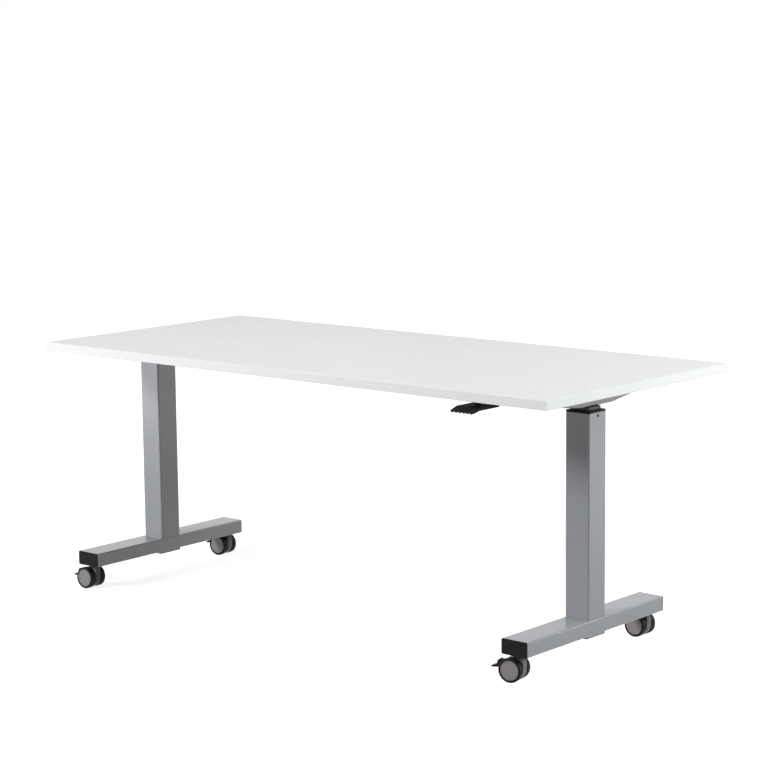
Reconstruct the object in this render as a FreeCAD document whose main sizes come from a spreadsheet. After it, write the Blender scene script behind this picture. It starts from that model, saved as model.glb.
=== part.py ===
import FreeCAD, Part
import math
import os
import re
import Sketcher

# Gas-spring table on castors. Millimetres, +X along the top, front towards -Y, +Z up.
# The origin lies on the floor under the middle of the top. The top is drawn at its lowest setting.

SIZES = [
    # Top
    ("table_height", 722, "floor to the top's upper face, lowest setting"),
    ("top_length", 1800, "top along X"),
    ("top_width", 800, "top along Y"),
    ("top_thickness", 25, "board and edging"),
    ("band_thickness", 2, "edging strip"),
    ("band_round", 1.5, "rounded outer edges of the edging"),
    # Columns
    ("leg_inset", 120, "column axis from the end of the top, along X"),
    ("leg_forward", 72, "column axis in front of the middle of the top"),
    ("column_width", 74, "outer tube, square"),
    ("column_wall", 2.5, "outer tube wall"),
    ("column_round", 4, "outer tube corner radius"),
    ("base_block", 8, "block welded into the foot of the outer tube"),
    ("inner_width", 55, "inner tube, square"),
    ("inner_wall", 2, "inner tube wall"),
    ("inner_round", 2.5, "inner tube corner radius"),
    ("inner_lift", 6, "inner tube above the base block at the lowest setting"),
    ("head_plate", 6, "plate welded into the head of the inner tube"),
    ("collar_thickness", 5, "flange of the collar on the outer tube"),
    ("collar_depth", 30, "skirt of the collar inside the outer tube"),
    ("neck_gap", 9, "inner tube seen between collar and bracket"),
    ("glide_length", 60, "glide on the inner tube's foot"),
    ("glide_clearance", 0.3, "sliding gap of collar and glide"),
    ("peep_hole_radius", 2.8, "fixing hole of the collar in the outer tube"),
    ("peep_hole_drop", 8, "that hole below the tube's top"),
    # Gas springs
    ("cylinder_radius", 14, "pressure tube"),
    ("cylinder_wall", 1.5, "pressure tube wall"),
    ("cylinder_lift", 3, "pressure tube above the rod's nut at the lowest setting"),
    ("guide_length", 20, "rod guide in the pressure tube's foot"),
    ("rod_radius", 5, "piston rod"),
    ("rod_stud_radius", 4, "threaded foot of the rod"),
    ("rod_nut_radius", 9, "nut on the rod's foot"),
    ("rod_nut_height", 8, "nut on the rod's foot"),
    ("piston_height", 12, "piston"),
    ("chamber_play", 20, "chamber above the piston at the lowest setting"),
    ("valve_block", 67, "solid head of the pressure tube above its chamber"),
    ("neck_radius", 10, "threaded neck of the gas spring"),
    ("pin_radius", 4, "valve pin"),
    ("pin_length", 22, "valve pin"),
    ("pin_rise", 4.5, "valve pin above the release head's block"),
    ("running_fit", 0.05, "radial gap of pins, rods and axles that turn or slide"),
    # Brackets
    ("bracket_length", 580, "bracket along Y"),
    ("bracket_back", 22, "middle of the bracket behind the column axis"),
    ("bracket_width", 42, "channel across its walls"),
    ("bracket_depth", 40, "channel at the column"),
    ("bracket_tip", 10, "channel at its ends"),
    ("bracket_flat", 132, "level stretch of the channel's floor"),
    ("bracket_bend", 60, "radius where the floor starts to rise"),
    ("bracket_round", 3, "outer bend of the channel's sheet"),
    ("flange_width", 18, "screw flange on each side"),
    ("flange_round", 6, "corner radius of the flanges"),
    ("sheet_wall", 2.5, "sheet of the brackets, clips and lever bracket"),
    ("screw_reach", 250, "outer bracket screws from the bracket's middle"),
    ("screw_advance", 54, "middle bracket screws before the bracket's middle"),
    # Screws into the top
    ("screw_radius", 2.2, "wood screw shank"),
    ("screw_length", 15, "wood screw in the board"),
    ("screw_head_radius", 4.5, "wood screw head"),
    ("screw_head_height", 3, "wood screw head"),
    ("hole_clearance", 0.2, "radial gap of a fastener in its hole"),
    # Cross beam
    ("beam_width", 40, "beam along Y"),
    ("beam_height", 28, "beam along Z"),
    ("beam_wall", 2, "beam wall"),
    ("beam_round", 3, "beam corner radius"),
    ("beam_setback", 60, "beam behind the column axis"),
    ("beam_drop", 4, "beam below the top"),
    ("beam_plate", 4, "end plate of the beam"),
    ("beam_bolt_radius", 3, "bolt of the end plates"),
    ("beam_bolt_head", 5, "bolt head radius and height"),
    ("beam_bolt_side", 7, "bolt beside the beam"),
    # Release heads and rockers
    ("head_length", 30, "release head along X"),
    ("head_width", 24, "release head along Y"),
    ("head_block", 8, "release head's threaded block"),
    ("head_round", 3, "corner radius of the release head"),
    ("ear_thickness", 3.7, "ear of the release head"),
    ("ear_half_length", 7, "ear from its pivot, along X"),
    ("ear_cap", 6, "ear above its pivot"),
    ("rocker_width", 10, "rocker along Y"),
    ("rocker_side_gap", 0.3, "rocker to each ear"),
    ("rocker_offset", 7, "rocker pivot beside the spring's axis"),
    ("rocker_rise", 21, "rocker pivot above the bracket's floor"),
    ("rocker_pin_radius", 2.5, "rocker trunnions"),
    ("rocker_nose_radius", 3.5, "rocker nose over the valve pin"),
    ("rocker_nose_gap", 0.2, "rocker nose above the valve pin"),
    ("cable_drop", 7, "cable below the top at the columns"),
    ("rocker_back", 5, "rocker body around its pivot"),
    ("rocker_post", 8, "rocker's upright arm along X"),
    ("rocker_round", 2, "rounded corners of the rocker"),
    ("fork_width", 3, "slot for the wire in the rocker"),
    ("stop_thickness", 4, "cable stop of the release head"),
    ("stop_margin", 3, "cable stop above the wire"),
    ("stop_width", 10, "cable stop along Y"),
    # Lever
    ("lever_inset", 141, "middle of the lever from the right column axis, along X"),
    ("lever_setback", 2, "front edge of the lever behind the top's front edge"),
    ("lever_width", 72, "lever along X"),
    ("lever_reach", 98, "lever from pivot to front edge"),
    ("lever_thickness", 7, "lever arm"),
    ("lever_drop", 18.4, "upper face of the lever arm below the top"),
    ("lever_tail", 8, "lever behind its pivot"),
    ("paddle_reach", 26, "drooped front of the lever"),
    ("paddle_drop", 5.1, "droop of the front edge"),
    ("paddle_tip", 4, "thickness of the front edge"),
    ("paddle_bend", 20, "radius where the front droops"),
    ("paddle_round", 1.2, "rounded front edge"),
    ("rib_count", 6, "finger ribs under the front"),
    ("rib_radius", 2.6, "finger rib"),
    ("rib_sink", 0.8, "finger rib's middle above the lever's underside"),
    ("pivot_drop", 10, "lever pivot below the top"),
    ("lug_thickness", 5, "lever lug"),
    ("lug_spread", 24, "lever lugs from the lever's middle"),
    ("lug_radius", 6, "lug around the pin"),
    ("lever_pin_radius", 3, "lever pin"),
    ("lever_pin_overhang", 2, "lever pin past each ear"),
    ("wire_spread", 10, "wires from the lever's middle"),
    ("wire_drop", 12, "wires below the lever pivot"),
    ("wire_slack", 1.6, "radial gap of a wire in the lever"),
    ("wire_grip", 9, "wire inside the lever"),
    ("holder_length", 104, "lever bracket along X"),
    ("holder_front", 16, "lever bracket before the pivot"),
    ("holder_tab_place", 34, "cable tab behind the pivot"),
    ("holder_tab_width", 40, "cable tab along X"),
    ("holder_tab_margin", 5, "cable tab below the wires"),
    ("holder_ear_gap", 1.5, "lever lug to the bracket's ear"),
    ("holder_ear_radius", 5, "ear around the pin"),
    ("holder_screw_inset", 8, "lever bracket screws from its edges"),
    # Cables
    ("cable_radius", 2.5, "cable sheath"),
    ("wire_radius", 0.75, "cable wire"),
    ("ferrule_radius", 3.5, "ferrule on each end of the sheath"),
    ("ferrule_length", 12, "ferrule on each end of the sheath"),
    ("cable_run_in", 60, "cable straight behind the lever"),
    ("cable_sweep", 50, "cable's slant towards its leg, along X"),
    ("cable_bend", 80, "cable bend radius"),
    ("clip_length", 10, "cable clip along X"),
    ("clip_lip", 3, "clip around the cable"),
    ("clip_tab", 13, "clip's screw tab"),
    ("clip_count", 3, "clips along the long cable"),
    ("clip_pitch", 380, "spacing of the clips"),
    # Feet
    ("foot_width", 80, "foot tube along X"),
    ("foot_height", 40, "foot tube along Z"),
    ("foot_length", 600, "foot with its caps"),
    ("foot_wall", 2.5, "foot tube wall"),
    ("foot_round", 4, "foot tube corner radius"),
    ("cap_face", 2, "face of the end cap"),
    ("cap_plug", 12, "end cap inside the tube"),
    ("cap_wall", 2.5, "wall of the end cap's plug"),
    ("cap_round", 1, "rounded rim of the end cap"),
    ("plug_clearance", 0.1, "end cap and collar in their tubes"),
    ("plate_length", 82, "clamp plate along Y"),
    ("plate_width", 70, "clamp plate along X"),
    ("plate_thickness", 7, "clamp plate"),
    ("plate_round", 4, "clamp plate corners"),
    ("bolt_spacing", 40, "column bolts, square pattern"),
    ("bolt_radius", 4, "column bolt shank"),
    ("bolt_head_radius", 8, "countersunk head"),
    # Castors
    ("castor_inset", 26, "castor stem from the end of the foot"),
    ("castor_trail", 17, "axle behind the stem"),
    ("swivel_gap", 1.5, "castor body below the foot"),
    ("stem_radius", 5.5, "castor stem"),
    ("stem_length", 22, "castor stem inside the foot"),
    ("boss_radius", 13, "castor body around its stem"),
    ("boss_gap", 1.5, "boss above the wheels"),
    ("boss_height", 4, "castor body above the wheels"),
    ("web_side_gap", 1.5, "castor body to each wheel"),
    ("web_inset", 1.5, "castor body inside the wheel's outline"),
    ("axle_radius", 3, "castor axle"),
    ("axle_cover", 3.5, "axle's end inside the wheel's outer face"),
    ("wheel_diameter", 62.5, "wheel over its tyre"),
    ("wheel_width", 18, "one wheel"),
    ("wheel_gap", 21, "space between the two wheels"),
    ("disc_diameter", 52, "wheel inside its tyre"),
    ("disc_recess", 0.6, "disc below the tyre's side"),
    ("disc_bevel", 1.5, "bevelled rim of the disc"),
    ("tyre_round", 3, "tyre shoulders"),
    ("pedal_side_gap", 1.5, "brake pedal to each wheel"),
    ("pedal_root", 9.4, "brake pedal inside the castor body"),
    ("pedal_root_gap", 0.3, "pedal's root to each side of its slot"),
    ("pedal_slot_reach", 8, "that slot past the pedal's pivot"),
    ("pedal_back", 17, "pedal pivot behind the axle"),
    ("pedal_rise", 17, "pedal pivot above the axle"),
    ("pedal_pin_radius", 2.5, "pedal trunnions"),
    ("pedal_root_size", 10, "pedal root around its pivot"),
    ("pedal_crest_back", 20, "top of the pedal's block behind its pivot"),
    ("pedal_crest_rise", 4.5, "top of the pedal's block above its pivot"),
    ("pedal_heel_back", 13.5, "foot of the pedal's block behind its pivot"),
    ("pedal_heel_drop", 3.2, "foot of the pedal's block below its pivot"),
    ("pedal_step_back", 25, "step of the pedal's block behind its pivot"),
    ("pedal_step_rise", 1, "step of the pedal's block above its pivot"),
    ("tongue_back", 27, "root of the pedal's tongue behind its pivot"),
    ("tongue_drop", 9.2, "root of the pedal's tongue below its pivot"),
    ("tongue_reach", 43, "pedal tip behind its pivot"),
    ("tongue_dip", 15, "pedal tip below its pivot"),
    ("tongue_thickness", 4, "pedal's tongue at its tip"),
    ("tongue_root_back", 22, "underside of the tongue's root behind the pivot"),
    ("tongue_root_drop", 16.5, "underside of the tongue's root below the pivot"),
    ("pedal_round", 2, "rounded corners of the pedal's block"),
    ("tongue_round", 1.4, "rounded tip of the tongue"),
    ("right_front_swivel", 10, "castor's turn, degrees"),
    ("right_rear_swivel", -1, "castor's turn, degrees"),
    ("left_front_swivel", 3, "castor's turn, degrees"),
    ("left_rear_swivel", 5, "castor's turn, degrees"),
]

doc = FreeCAD.newDocument("GasSpringTable")
sheet = doc.addObject("Spreadsheet::Sheet", "Sizes")
for row, (alias, size, meaning) in enumerate(SIZES, start=1):
    sheet.set(f"A{row}", meaning)
    sheet.set(f"B{row}", str(size))
    sheet.setAlias(f"B{row}", alias)
doc.recompute()

ALIAS = re.compile(r"\b(" + "|".join(alias for alias, size, meaning in SIZES) + r")\b")

# Places that several pieces share, as texts over the sheet's names.
LEG_X = "(top_length/2 - leg_inset)"
COLUMN_Y = "(-leg_forward)"
CASTOR_HEIGHT = "(wheel_diameter + boss_gap + boss_height + swivel_gap)"
FOOT_TOP = f"({CASTOR_HEIGHT} + foot_height)"
BLOCK_TOP = f"({FOOT_TOP} + base_block)"
UNDERSIDE = "(table_height - top_thickness)"
BRACKET_Y = f"({COLUMN_Y} + bracket_back)"
BRACKET_FLOOR = f"({UNDERSIDE} - bracket_depth)"
HEAD_SEAT = f"({BRACKET_FLOOR} + sheet_wall)"
COLLAR_TOP = f"({BRACKET_FLOOR} - neck_gap)"
TUBE_TOP = f"({COLLAR_TOP} - collar_thickness)"
COLUMN_BORE = "(column_width - 2*column_wall)"
INNER_FOOT = f"({BLOCK_TOP} + inner_lift)"
CYLINDER_FOOT = f"({BLOCK_TOP} + rod_nut_height + cylinder_lift)"
CYLINDER_BORE = "(cylinder_radius - cylinder_wall)"
SHOULDER = f"({BRACKET_FLOOR} - head_plate)"
CHAMBER_TOP = f"({SHOULDER} - valve_block)"
PISTON_FOOT = f"({CHAMBER_TOP} - chamber_play - piston_height)"
HEAD_TOP = f"({HEAD_SEAT} + head_block)"
CABLE_Z = f"({UNDERSIDE} - cable_drop)"
WIRE_RISE = f"({CABLE_Z} - {HEAD_SEAT})"
FLANGE_X = "(bracket_width/2 + flange_width/2)"
BEAM_BOLT_Y = "(beam_width/2 + beam_bolt_side)"
BEAM_Z = f"({UNDERSIDE} - beam_drop - beam_height/2)"
LEVER_X = f"({LEG_X} - lever_inset)"
PIVOT_Y = "(lever_setback + lever_reach - top_width/2)"
TAB_Y = f"({PIVOT_Y} + holder_tab_place + sheet_wall)"
WIRE_Z = f"({UNDERSIDE} - pivot_drop - wire_drop)"
EAR_X = "(lug_spread + lug_thickness/2 + holder_ear_gap)"
WHEEL_RADIUS = "(wheel_diameter/2)"
DISC_RADIUS = "(disc_diameter/2)"
GUARD_RADIUS = f"({WHEEL_RADIUS} - web_inset)"
BOSS_FOOT = "(wheel_diameter + boss_gap)"
BOSS_TOP = f"({BOSS_FOOT} + boss_height)"
WEB_WIDTH = "(wheel_gap - 2*web_side_gap)"
PEDAL_X = "(-castor_trail - pedal_back)"
PEDAL_Z = f"({WHEEL_RADIUS} + pedal_rise)"

SIDES = {"left": -1, "right": 1}
ENDS = {"front": -1, "rear": 1}

parts = []


def bound(text):
    """A text over the sheet's names, as an expression."""
    return ALIAS.sub(lambda match: "Sizes." + match.group(0), text)


def number(text):
    """What a text over the sheet's names comes to now."""
    return float(sheet.evalExpression(bound(text)))


def place(piece, x="0", y="0", z="0", turn="0"):
    """Put a piece at x, y, z, turned about its own upright axis."""
    for axis, text in zip("xyz", (x, y, z)):
        piece.setExpression(f"Placement.Base.{axis}", bound(text))
    piece.setExpression("Placement.Rotation.Angle", bound(turn))


def keep(label, piece):
    """Name a finished sub-part."""
    piece.Label = label
    parts.append(piece)
    return piece


def body(name, **where):
    piece = doc.addObject("PartDesign::Body", name)
    place(piece, **where)
    return piece


def sketch_on(piece, role, x="0", y="0", off="0"):
    """A sketch on an origin plane of a body, its origin moved by x, y and off the plane."""
    plane = next(feature for feature in piece.Origin.OriginFeatures if feature.Role == role)
    sketch = piece.newObject("Sketcher::SketchObject", "Sketch")
    sketch.AttachmentSupport = [(plane, "")]
    sketch.MapMode = "FlatFace"
    for axis, text in zip("xyz", (x, y, off)):
        sketch.setExpression(f"AttachmentOffset.Base.{axis}", bound(text))
    return sketch


def spot(sketch, geometry, point, u, v):
    """Bind one point of a sketch to its two coordinates."""
    for kind, axis, text in (("DistanceX", -2, u), ("DistanceY", -1, v)):
        if text == "0":
            sketch.addConstraint(Sketcher.Constraint("PointOnObject", geometry, point, axis))
        else:
            index = sketch.addConstraint(Sketcher.Constraint(kind, geometry, point, number(text)))
            sketch.setExpression(f"Constraints[{index}]", bound(text))


def circle(sketch, u, v, radius):
    centre = FreeCAD.Vector(number(u), number(v), 0)
    geometry = sketch.addGeometry(Part.Circle(centre, FreeCAD.Vector(0, 0, 1), number(radius)), False)
    spot(sketch, geometry, 3, u, v)
    index = sketch.addConstraint(Sketcher.Constraint("Radius", geometry, number(radius)))
    sketch.setExpression(f"Constraints[{index}]", bound(radius))


def outline(sketch, corners):
    """A closed outline. A corner is u, v, and a radius where it is rounded."""
    count = len(corners)
    points = [FreeCAD.Vector(number(corner[0]), number(corner[1]), 0) for corner in corners]
    arrive, leave, turns = [], [], []
    for index, corner in enumerate(corners):
        back = (points[index - 1] - points[index]).normalize()
        ahead = (points[(index + 1) % count] - points[index]).normalize()
        setback = 0
        if len(corner) == 3:
            half_angle = math.acos(max(-1, min(1, back.dot(ahead)))) / 2
            setback = number(corner[2]) / math.tan(half_angle)
        arrive.append(points[index] + back * setback)
        leave.append(points[index] + ahead * setback)
        turns.append((ahead.cross(back)).z)
    edges = [
        sketch.addGeometry(Part.LineSegment(leave[index], arrive[(index + 1) % count]), False)
        for index in range(count)
    ]
    for index, corner in enumerate(corners):
        before, after = edges[index - 1], edges[index]
        if len(corner) == 2:
            sketch.addConstraint(Sketcher.Constraint("Coincident", before, 2, after, 1))
            spot(sketch, after, 1, corner[0], corner[1])
            continue
        radius = number(corner[2])
        inward = ((arrive[index] - points[index]) + (leave[index] - points[index])).normalize()
        to_centre = math.hypot(radius, (arrive[index] - points[index]).Length)
        centre = points[index] + inward * to_centre
        first, last = (arrive[index], leave[index]) if turns[index] > 0 else (leave[index], arrive[index])
        start = math.atan2(first.y - centre.y, first.x - centre.x)
        stop = math.atan2(last.y - centre.y, last.x - centre.x)
        ring = Part.Circle(centre, FreeCAD.Vector(0, 0, 1), radius)
        arc = sketch.addGeometry(Part.ArcOfCircle(ring, start, stop), False)
        arc_in, arc_out = (1, 2) if turns[index] > 0 else (2, 1)
        vertex = sketch.addGeometry(Part.Point(points[index]), True)
        sketch.addConstraint([
            Sketcher.Constraint("Tangent", before, 2, arc, arc_in),
            Sketcher.Constraint("Tangent", arc, arc_out, after, 1),
            Sketcher.Constraint("PointOnObject", vertex, 1, before),
            Sketcher.Constraint("PointOnObject", vertex, 1, after),
        ])
        spot(sketch, vertex, 1, corner[0], corner[1])
        size = sketch.addConstraint(Sketcher.Constraint("Radius", arc, radius))
        sketch.setExpression(f"Constraints[{size}]", bound(corner[2]))


def rectangle(sketch, low, high, rounding=None):
    """An upright rectangle between two corners, its own corners rounded if wanted."""
    (u0, v0), (u1, v1) = low, high
    corners = [(u0, v0), (u1, v0), (u1, v1), (u0, v1)]
    outline(sketch, [corner + (rounding,) if rounding else corner for corner in corners])


def middle_rectangle(sketch, width, height, rounding=None):
    low = (f"-({width})/2", f"-({height})/2")
    high = (f"({width})/2", f"({height})/2")
    rectangle(sketch, low, high, rounding)


def raised(piece, kind, sketch, length, symmetric=False, reverse=False):
    """Pad or pocket a sketch. A length of None goes through all."""
    feature = piece.newObject(kind, "Feature")
    feature.Profile = sketch
    feature.SideType = "Symmetric" if symmetric else "One side"
    feature.Reversed = reverse
    if length is None:
        feature.Type = "ThroughAll"
    else:
        feature.Type = "Length"
        feature.setExpression("Length", bound(length))
    return feature


def pad(piece, sketch, length, **how):
    return raised(piece, "PartDesign::Pad", sketch, length, **how)


def pocket(piece, sketch, length=None, **how):
    """Cut a sketch out of a body, and see that material goes."""
    doc.recompute()
    before = piece.Shape.Volume
    feature = raised(piece, "PartDesign::Pocket", sketch, length, **how)
    doc.recompute()
    if not piece.Shape.Volume < before:
        raise RuntimeError(f"{piece.Name}: {feature.Name} cuts nothing")
    return feature


def revolve(piece, sketch):
    """Turn a sketch about its own vertical axis."""
    feature = piece.newObject("PartDesign::Revolution", "Revolution")
    feature.Profile = sketch
    feature.ReferenceAxis = (sketch, ["V_Axis"])
    feature.Angle = 360
    return feature


def group(name, pieces):
    """Like pieces that share one node."""
    compound = doc.addObject("Part::Compound", name)
    compound.Links = pieces
    return compound


def copies(name, pattern, spots):
    """Copies of one piece at several places."""
    links = []
    for x, y, z, turn in spots:
        link = doc.addObject("App::Link", name)
        link.LinkedObject = pattern
        place(link, x=x, y=y, z=z, turn=turn)
        links.append(link)
    return group(name + "_group", links)


def leg_x(side):
    return f"({SIDES[side]}*{LEG_X})"


def facing(side):
    """A leg piece is drawn for the right leg, and turned half round for the left."""
    return "0" if side == "right" else "180"


SCREW_ROWS = ("-screw_reach", "-screw_advance", "screw_reach")


def bracket_screws(side):
    return [
        (f"({leg_x(side)} + {flank}*{FLANGE_X})", f"({BRACKET_Y} + {row})")
        for flank in (-1, 1)
        for row in SCREW_ROWS
    ]


HOLDER_SPREAD = "(holder_length/2 - holder_screw_inset)"
HOLDER_ROWS = ("(holder_screw_inset - holder_front)", "(holder_tab_place - holder_screw_inset)")


def holder_screws():
    return [
        (f"({LEVER_X} + {flank}*{HOLDER_SPREAD})", f"({PIVOT_Y} + {row})")
        for flank in (-1, 1)
        for row in HOLDER_ROWS
    ]


CLIP_SCREW_Y = "(cable_radius + clip_lip + clip_tab/2)"
CLIP_X = [
    f"({LEVER_X} - cable_sweep - clip_pitch*({step} + 1/2))"
    for step in range(int(number("clip_count")))
]


def clip_screws():
    return [(x, f"({COLUMN_Y} - {CLIP_SCREW_Y})") for x in CLIP_X]


SCREW_SPOTS = bracket_screws("left") + bracket_screws("right") + holder_screws() + clip_screws()


def build_top():
    board = body("Board", z=UNDERSIDE)
    sketch = sketch_on(board, "XY_Plane")
    middle_rectangle(sketch, "top_length - 2*band_thickness", "top_width - 2*band_thickness")
    pad(board, sketch, "top_thickness")
    pilots = sketch_on(board, "XY_Plane")
    for x, y in SCREW_SPOTS:
        circle(pilots, x, y, "screw_radius")
    pocket(board, pilots, "screw_length", reverse=True)
    keep("tabletop_board", board)

    strips = []
    for sign in (-1, 1):
        strip = body("LongBand", y=f"{sign}*(top_width/2 - band_thickness)", z=UNDERSIDE)
        sketch = sketch_on(strip, "YZ_Plane")
        outline(sketch, band_section(sign))
        pad(strip, sketch, "top_length", symmetric=True)
        strips.append(strip)
    for sign in (-1, 1):
        strip = body("ShortBand", x=f"{sign}*(top_length/2 - band_thickness)", z=UNDERSIDE)
        sketch = sketch_on(strip, "XZ_Plane")
        outline(sketch, band_section(sign))
        pad(strip, sketch, "top_width - 2*band_thickness", symmetric=True)
        strips.append(strip)
    keep("edge_bands", group("EdgeBands", strips))

    screw = body("Screw")
    sketch = sketch_on(screw, "XZ_Plane")
    outline(sketch, [
        ("0", "-sheet_wall - screw_head_height"),
        ("screw_head_radius", "-sheet_wall - screw_head_height"),
        ("screw_head_radius", "-sheet_wall"),
        ("screw_radius", "-sheet_wall"),
        ("screw_radius", "screw_length - screw_radius"),
        ("0", "screw_length"),
    ])
    revolve(screw, sketch)
    spots = [(x, y, UNDERSIDE, "0") for x, y in SCREW_SPOTS]
    keep("top_screws", copies("TopScrew", screw, spots))


def band_section(sign):
    """Edging strip across its length, its face rounded towards the outside."""
    face = f"{sign}*band_thickness"
    return [
        ("0", "0"),
        (face, "0", "band_round"),
        (face, "top_thickness", "band_round"),
        ("0", "top_thickness"),
    ]


def channel_section(half_length, tip, depth, bend=None):
    """Side view of the bracket's channel, level over the column and rising to both ends."""
    low = ("bracket_flat/2", f"-({depth})") + ((bend,) if bend else ())
    far = ("-bracket_flat/2", f"-({depth})") + ((bend,) if bend else ())
    return [
        (f"({half_length})", "0"),
        (f"-({half_length})", "0"),
        (f"-({half_length})", f"-({tip})"),
        far,
        low,
        (f"({half_length})", f"-({tip})"),
    ]


def round_channel(bracket):
    """Round the channel's outer edges, apart from the two at the top."""
    doc.recompute()
    channel = bracket.Tip
    edges = [
        f"Edge{index}"
        for index, edge in enumerate(channel.Shape.Edges, start=1)
        if edge.CenterOfMass.z < -number("sheet_wall")
    ]
    rounding = bracket.newObject("PartDesign::Fillet", "Bends")
    rounding.Base = (channel, edges)
    rounding.setExpression("Radius", bound("bracket_round"))


def build_bracket(side):
    bracket = body("Bracket", x=leg_x(side), y=BRACKET_Y, z=UNDERSIDE)
    walls = sketch_on(bracket, "YZ_Plane")
    outline(walls, channel_section("bracket_length/2", "bracket_tip", "bracket_depth", "bracket_bend"))
    pad(bracket, walls, "bracket_width", symmetric=True)
    round_channel(bracket)
    flanges = sketch_on(bracket, "XY_Plane")
    middle_rectangle(flanges, "bracket_width + 2*flange_width", "bracket_length", "flange_round")
    pad(bracket, flanges, "sheet_wall", reverse=True)
    cavity = sketch_on(bracket, "YZ_Plane")
    outline(cavity, channel_section(
        "bracket_length/2 - sheet_wall",
        "bracket_tip - sheet_wall",
        "bracket_depth - sheet_wall",
        "bracket_bend",
    ))
    pocket(bracket, cavity, "bracket_width - 2*sheet_wall", symmetric=True)
    drilled = sketch_on(bracket, "XY_Plane")
    for flank in (-1, 1):
        for row in SCREW_ROWS:
            circle(drilled, f"{flank}*{FLANGE_X}", row, "screw_radius + hole_clearance")
    circle(drilled, "0", "-bracket_back", "neck_radius + hole_clearance")
    pocket(bracket, drilled)
    inner_wall = sketch_on(bracket, "YZ_Plane")
    circle(inner_wall, "-bracket_back", f"{CABLE_Z} - {UNDERSIDE}", "ferrule_radius + hole_clearance")
    for flank in (-1, 1):
        bolt_y = f"beam_setback - bracket_back + {flank}*{BEAM_BOLT_Y}"
        circle(inner_wall, bolt_y, f"{BEAM_Z} - {UNDERSIDE}", "beam_bolt_radius + hole_clearance")
    pocket(bracket, inner_wall, "bracket_width", reverse=side == "left")
    keep(f"{side}_bracket", bracket)


def build_cross_beam():
    half_span = f"({LEG_X} - bracket_width/2)"
    beam = body("Beam", y=f"{COLUMN_Y} + beam_setback", z=BEAM_Z)
    tube = sketch_on(beam, "YZ_Plane")
    middle_rectangle(tube, "beam_width", "beam_height", "beam_round")
    pad(beam, tube, f"2*{half_span}", symmetric=True)
    bore = sketch_on(beam, "YZ_Plane")
    middle_rectangle(bore, "beam_width - 2*beam_wall", "beam_height - 2*beam_wall", "beam_round - beam_wall")
    pocket(beam, bore, f"2*({half_span} - beam_plate)", symmetric=True)
    for side, sign in SIDES.items():
        plate = sketch_on(beam, "YZ_Plane", off=f"{sign}*{half_span}")
        middle_rectangle(plate, f"2*({BEAM_BOLT_Y} + beam_bolt_side)", "beam_height", "beam_round")
        pad(beam, plate, "beam_plate", reverse=sign > 0)
    holes = sketch_on(beam, "YZ_Plane")
    for flank in (-1, 1):
        circle(holes, f"{flank}*{BEAM_BOLT_Y}", "0", "beam_bolt_radius")
    pocket(beam, holes, f"2*{half_span}", symmetric=True)
    keep("cross_beam", beam)

    bolt = body("BeamBolt")
    head = sketch_on(bolt, "YZ_Plane", off="-bracket_width/2 + sheet_wall")
    circle(head, "0", "0", "beam_bolt_head")
    pad(bolt, head, "beam_bolt_head")
    shank = sketch_on(bolt, "YZ_Plane", off="-bracket_width/2 + sheet_wall")
    circle(shank, "0", "0", "beam_bolt_radius")
    pad(bolt, shank, "sheet_wall + beam_plate", reverse=True)
    spots = [
        (leg_x(side), f"({COLUMN_Y} + beam_setback + {flank}*{BEAM_BOLT_Y})", BEAM_Z, facing(side))
        for side in SIDES
        for flank in (-1, 1)
    ]
    keep("beam_bolts", copies("BeamBolts", bolt, spots))


def build_inner_column(side):
    """Inner tube, closed at its head by a plate that the gas spring's neck passes."""
    tube = body("InnerTube", x=leg_x(side), y=COLUMN_Y, z=INNER_FOOT)
    section = sketch_on(tube, "XY_Plane")
    middle_rectangle(section, "inner_width", "inner_width", "inner_round")
    pad(tube, section, f"{BRACKET_FLOOR} - {INNER_FOOT}")
    bore = sketch_on(tube, "XY_Plane")
    middle_rectangle(bore, "inner_width - 2*inner_wall", "inner_width - 2*inner_wall")
    pocket(tube, bore, f"{BRACKET_FLOOR} - {INNER_FOOT} - head_plate", reverse=True)
    neck = sketch_on(tube, "XY_Plane")
    circle(neck, "0", "0", "neck_radius + hole_clearance")
    pocket(tube, neck, reverse=True)
    keep(f"{side}_inner_tube", tube)

    cylinder = body("GasCylinder", x=leg_x(side), y=COLUMN_Y)
    section = sketch_on(cylinder, "XZ_Plane")
    outline(section, [
        ("rod_radius + running_fit", CYLINDER_FOOT),
        ("cylinder_radius", CYLINDER_FOOT),
        ("cylinder_radius", SHOULDER),
        ("neck_radius", SHOULDER),
        ("neck_radius", HEAD_TOP),
        ("pin_radius + running_fit", HEAD_TOP),
        ("pin_radius + running_fit", CHAMBER_TOP),
        (CYLINDER_BORE, CHAMBER_TOP),
        (CYLINDER_BORE, f"{CYLINDER_FOOT} + guide_length"),
        ("rod_radius + running_fit", f"{CYLINDER_FOOT} + guide_length"),
    ])
    revolve(cylinder, section)
    keep(f"{side}_gas_cylinder", cylinder)


def build_glides():
    glides = []
    for side in SIDES:
        glide = body("Glide", x=leg_x(side), y=COLUMN_Y, z=INNER_FOOT)
        outside = sketch_on(glide, "XY_Plane")
        width = f"{COLUMN_BORE} - 2*glide_clearance"
        middle_rectangle(outside, width, width)
        pad(glide, outside, "glide_length")
        inside = sketch_on(glide, "XY_Plane")
        middle_rectangle(inside, "inner_width", "inner_width", "inner_round")
        pocket(glide, inside, reverse=True)
        glides.append(glide)
    keep("inner_glides", group("InnerGlides", glides))


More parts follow.
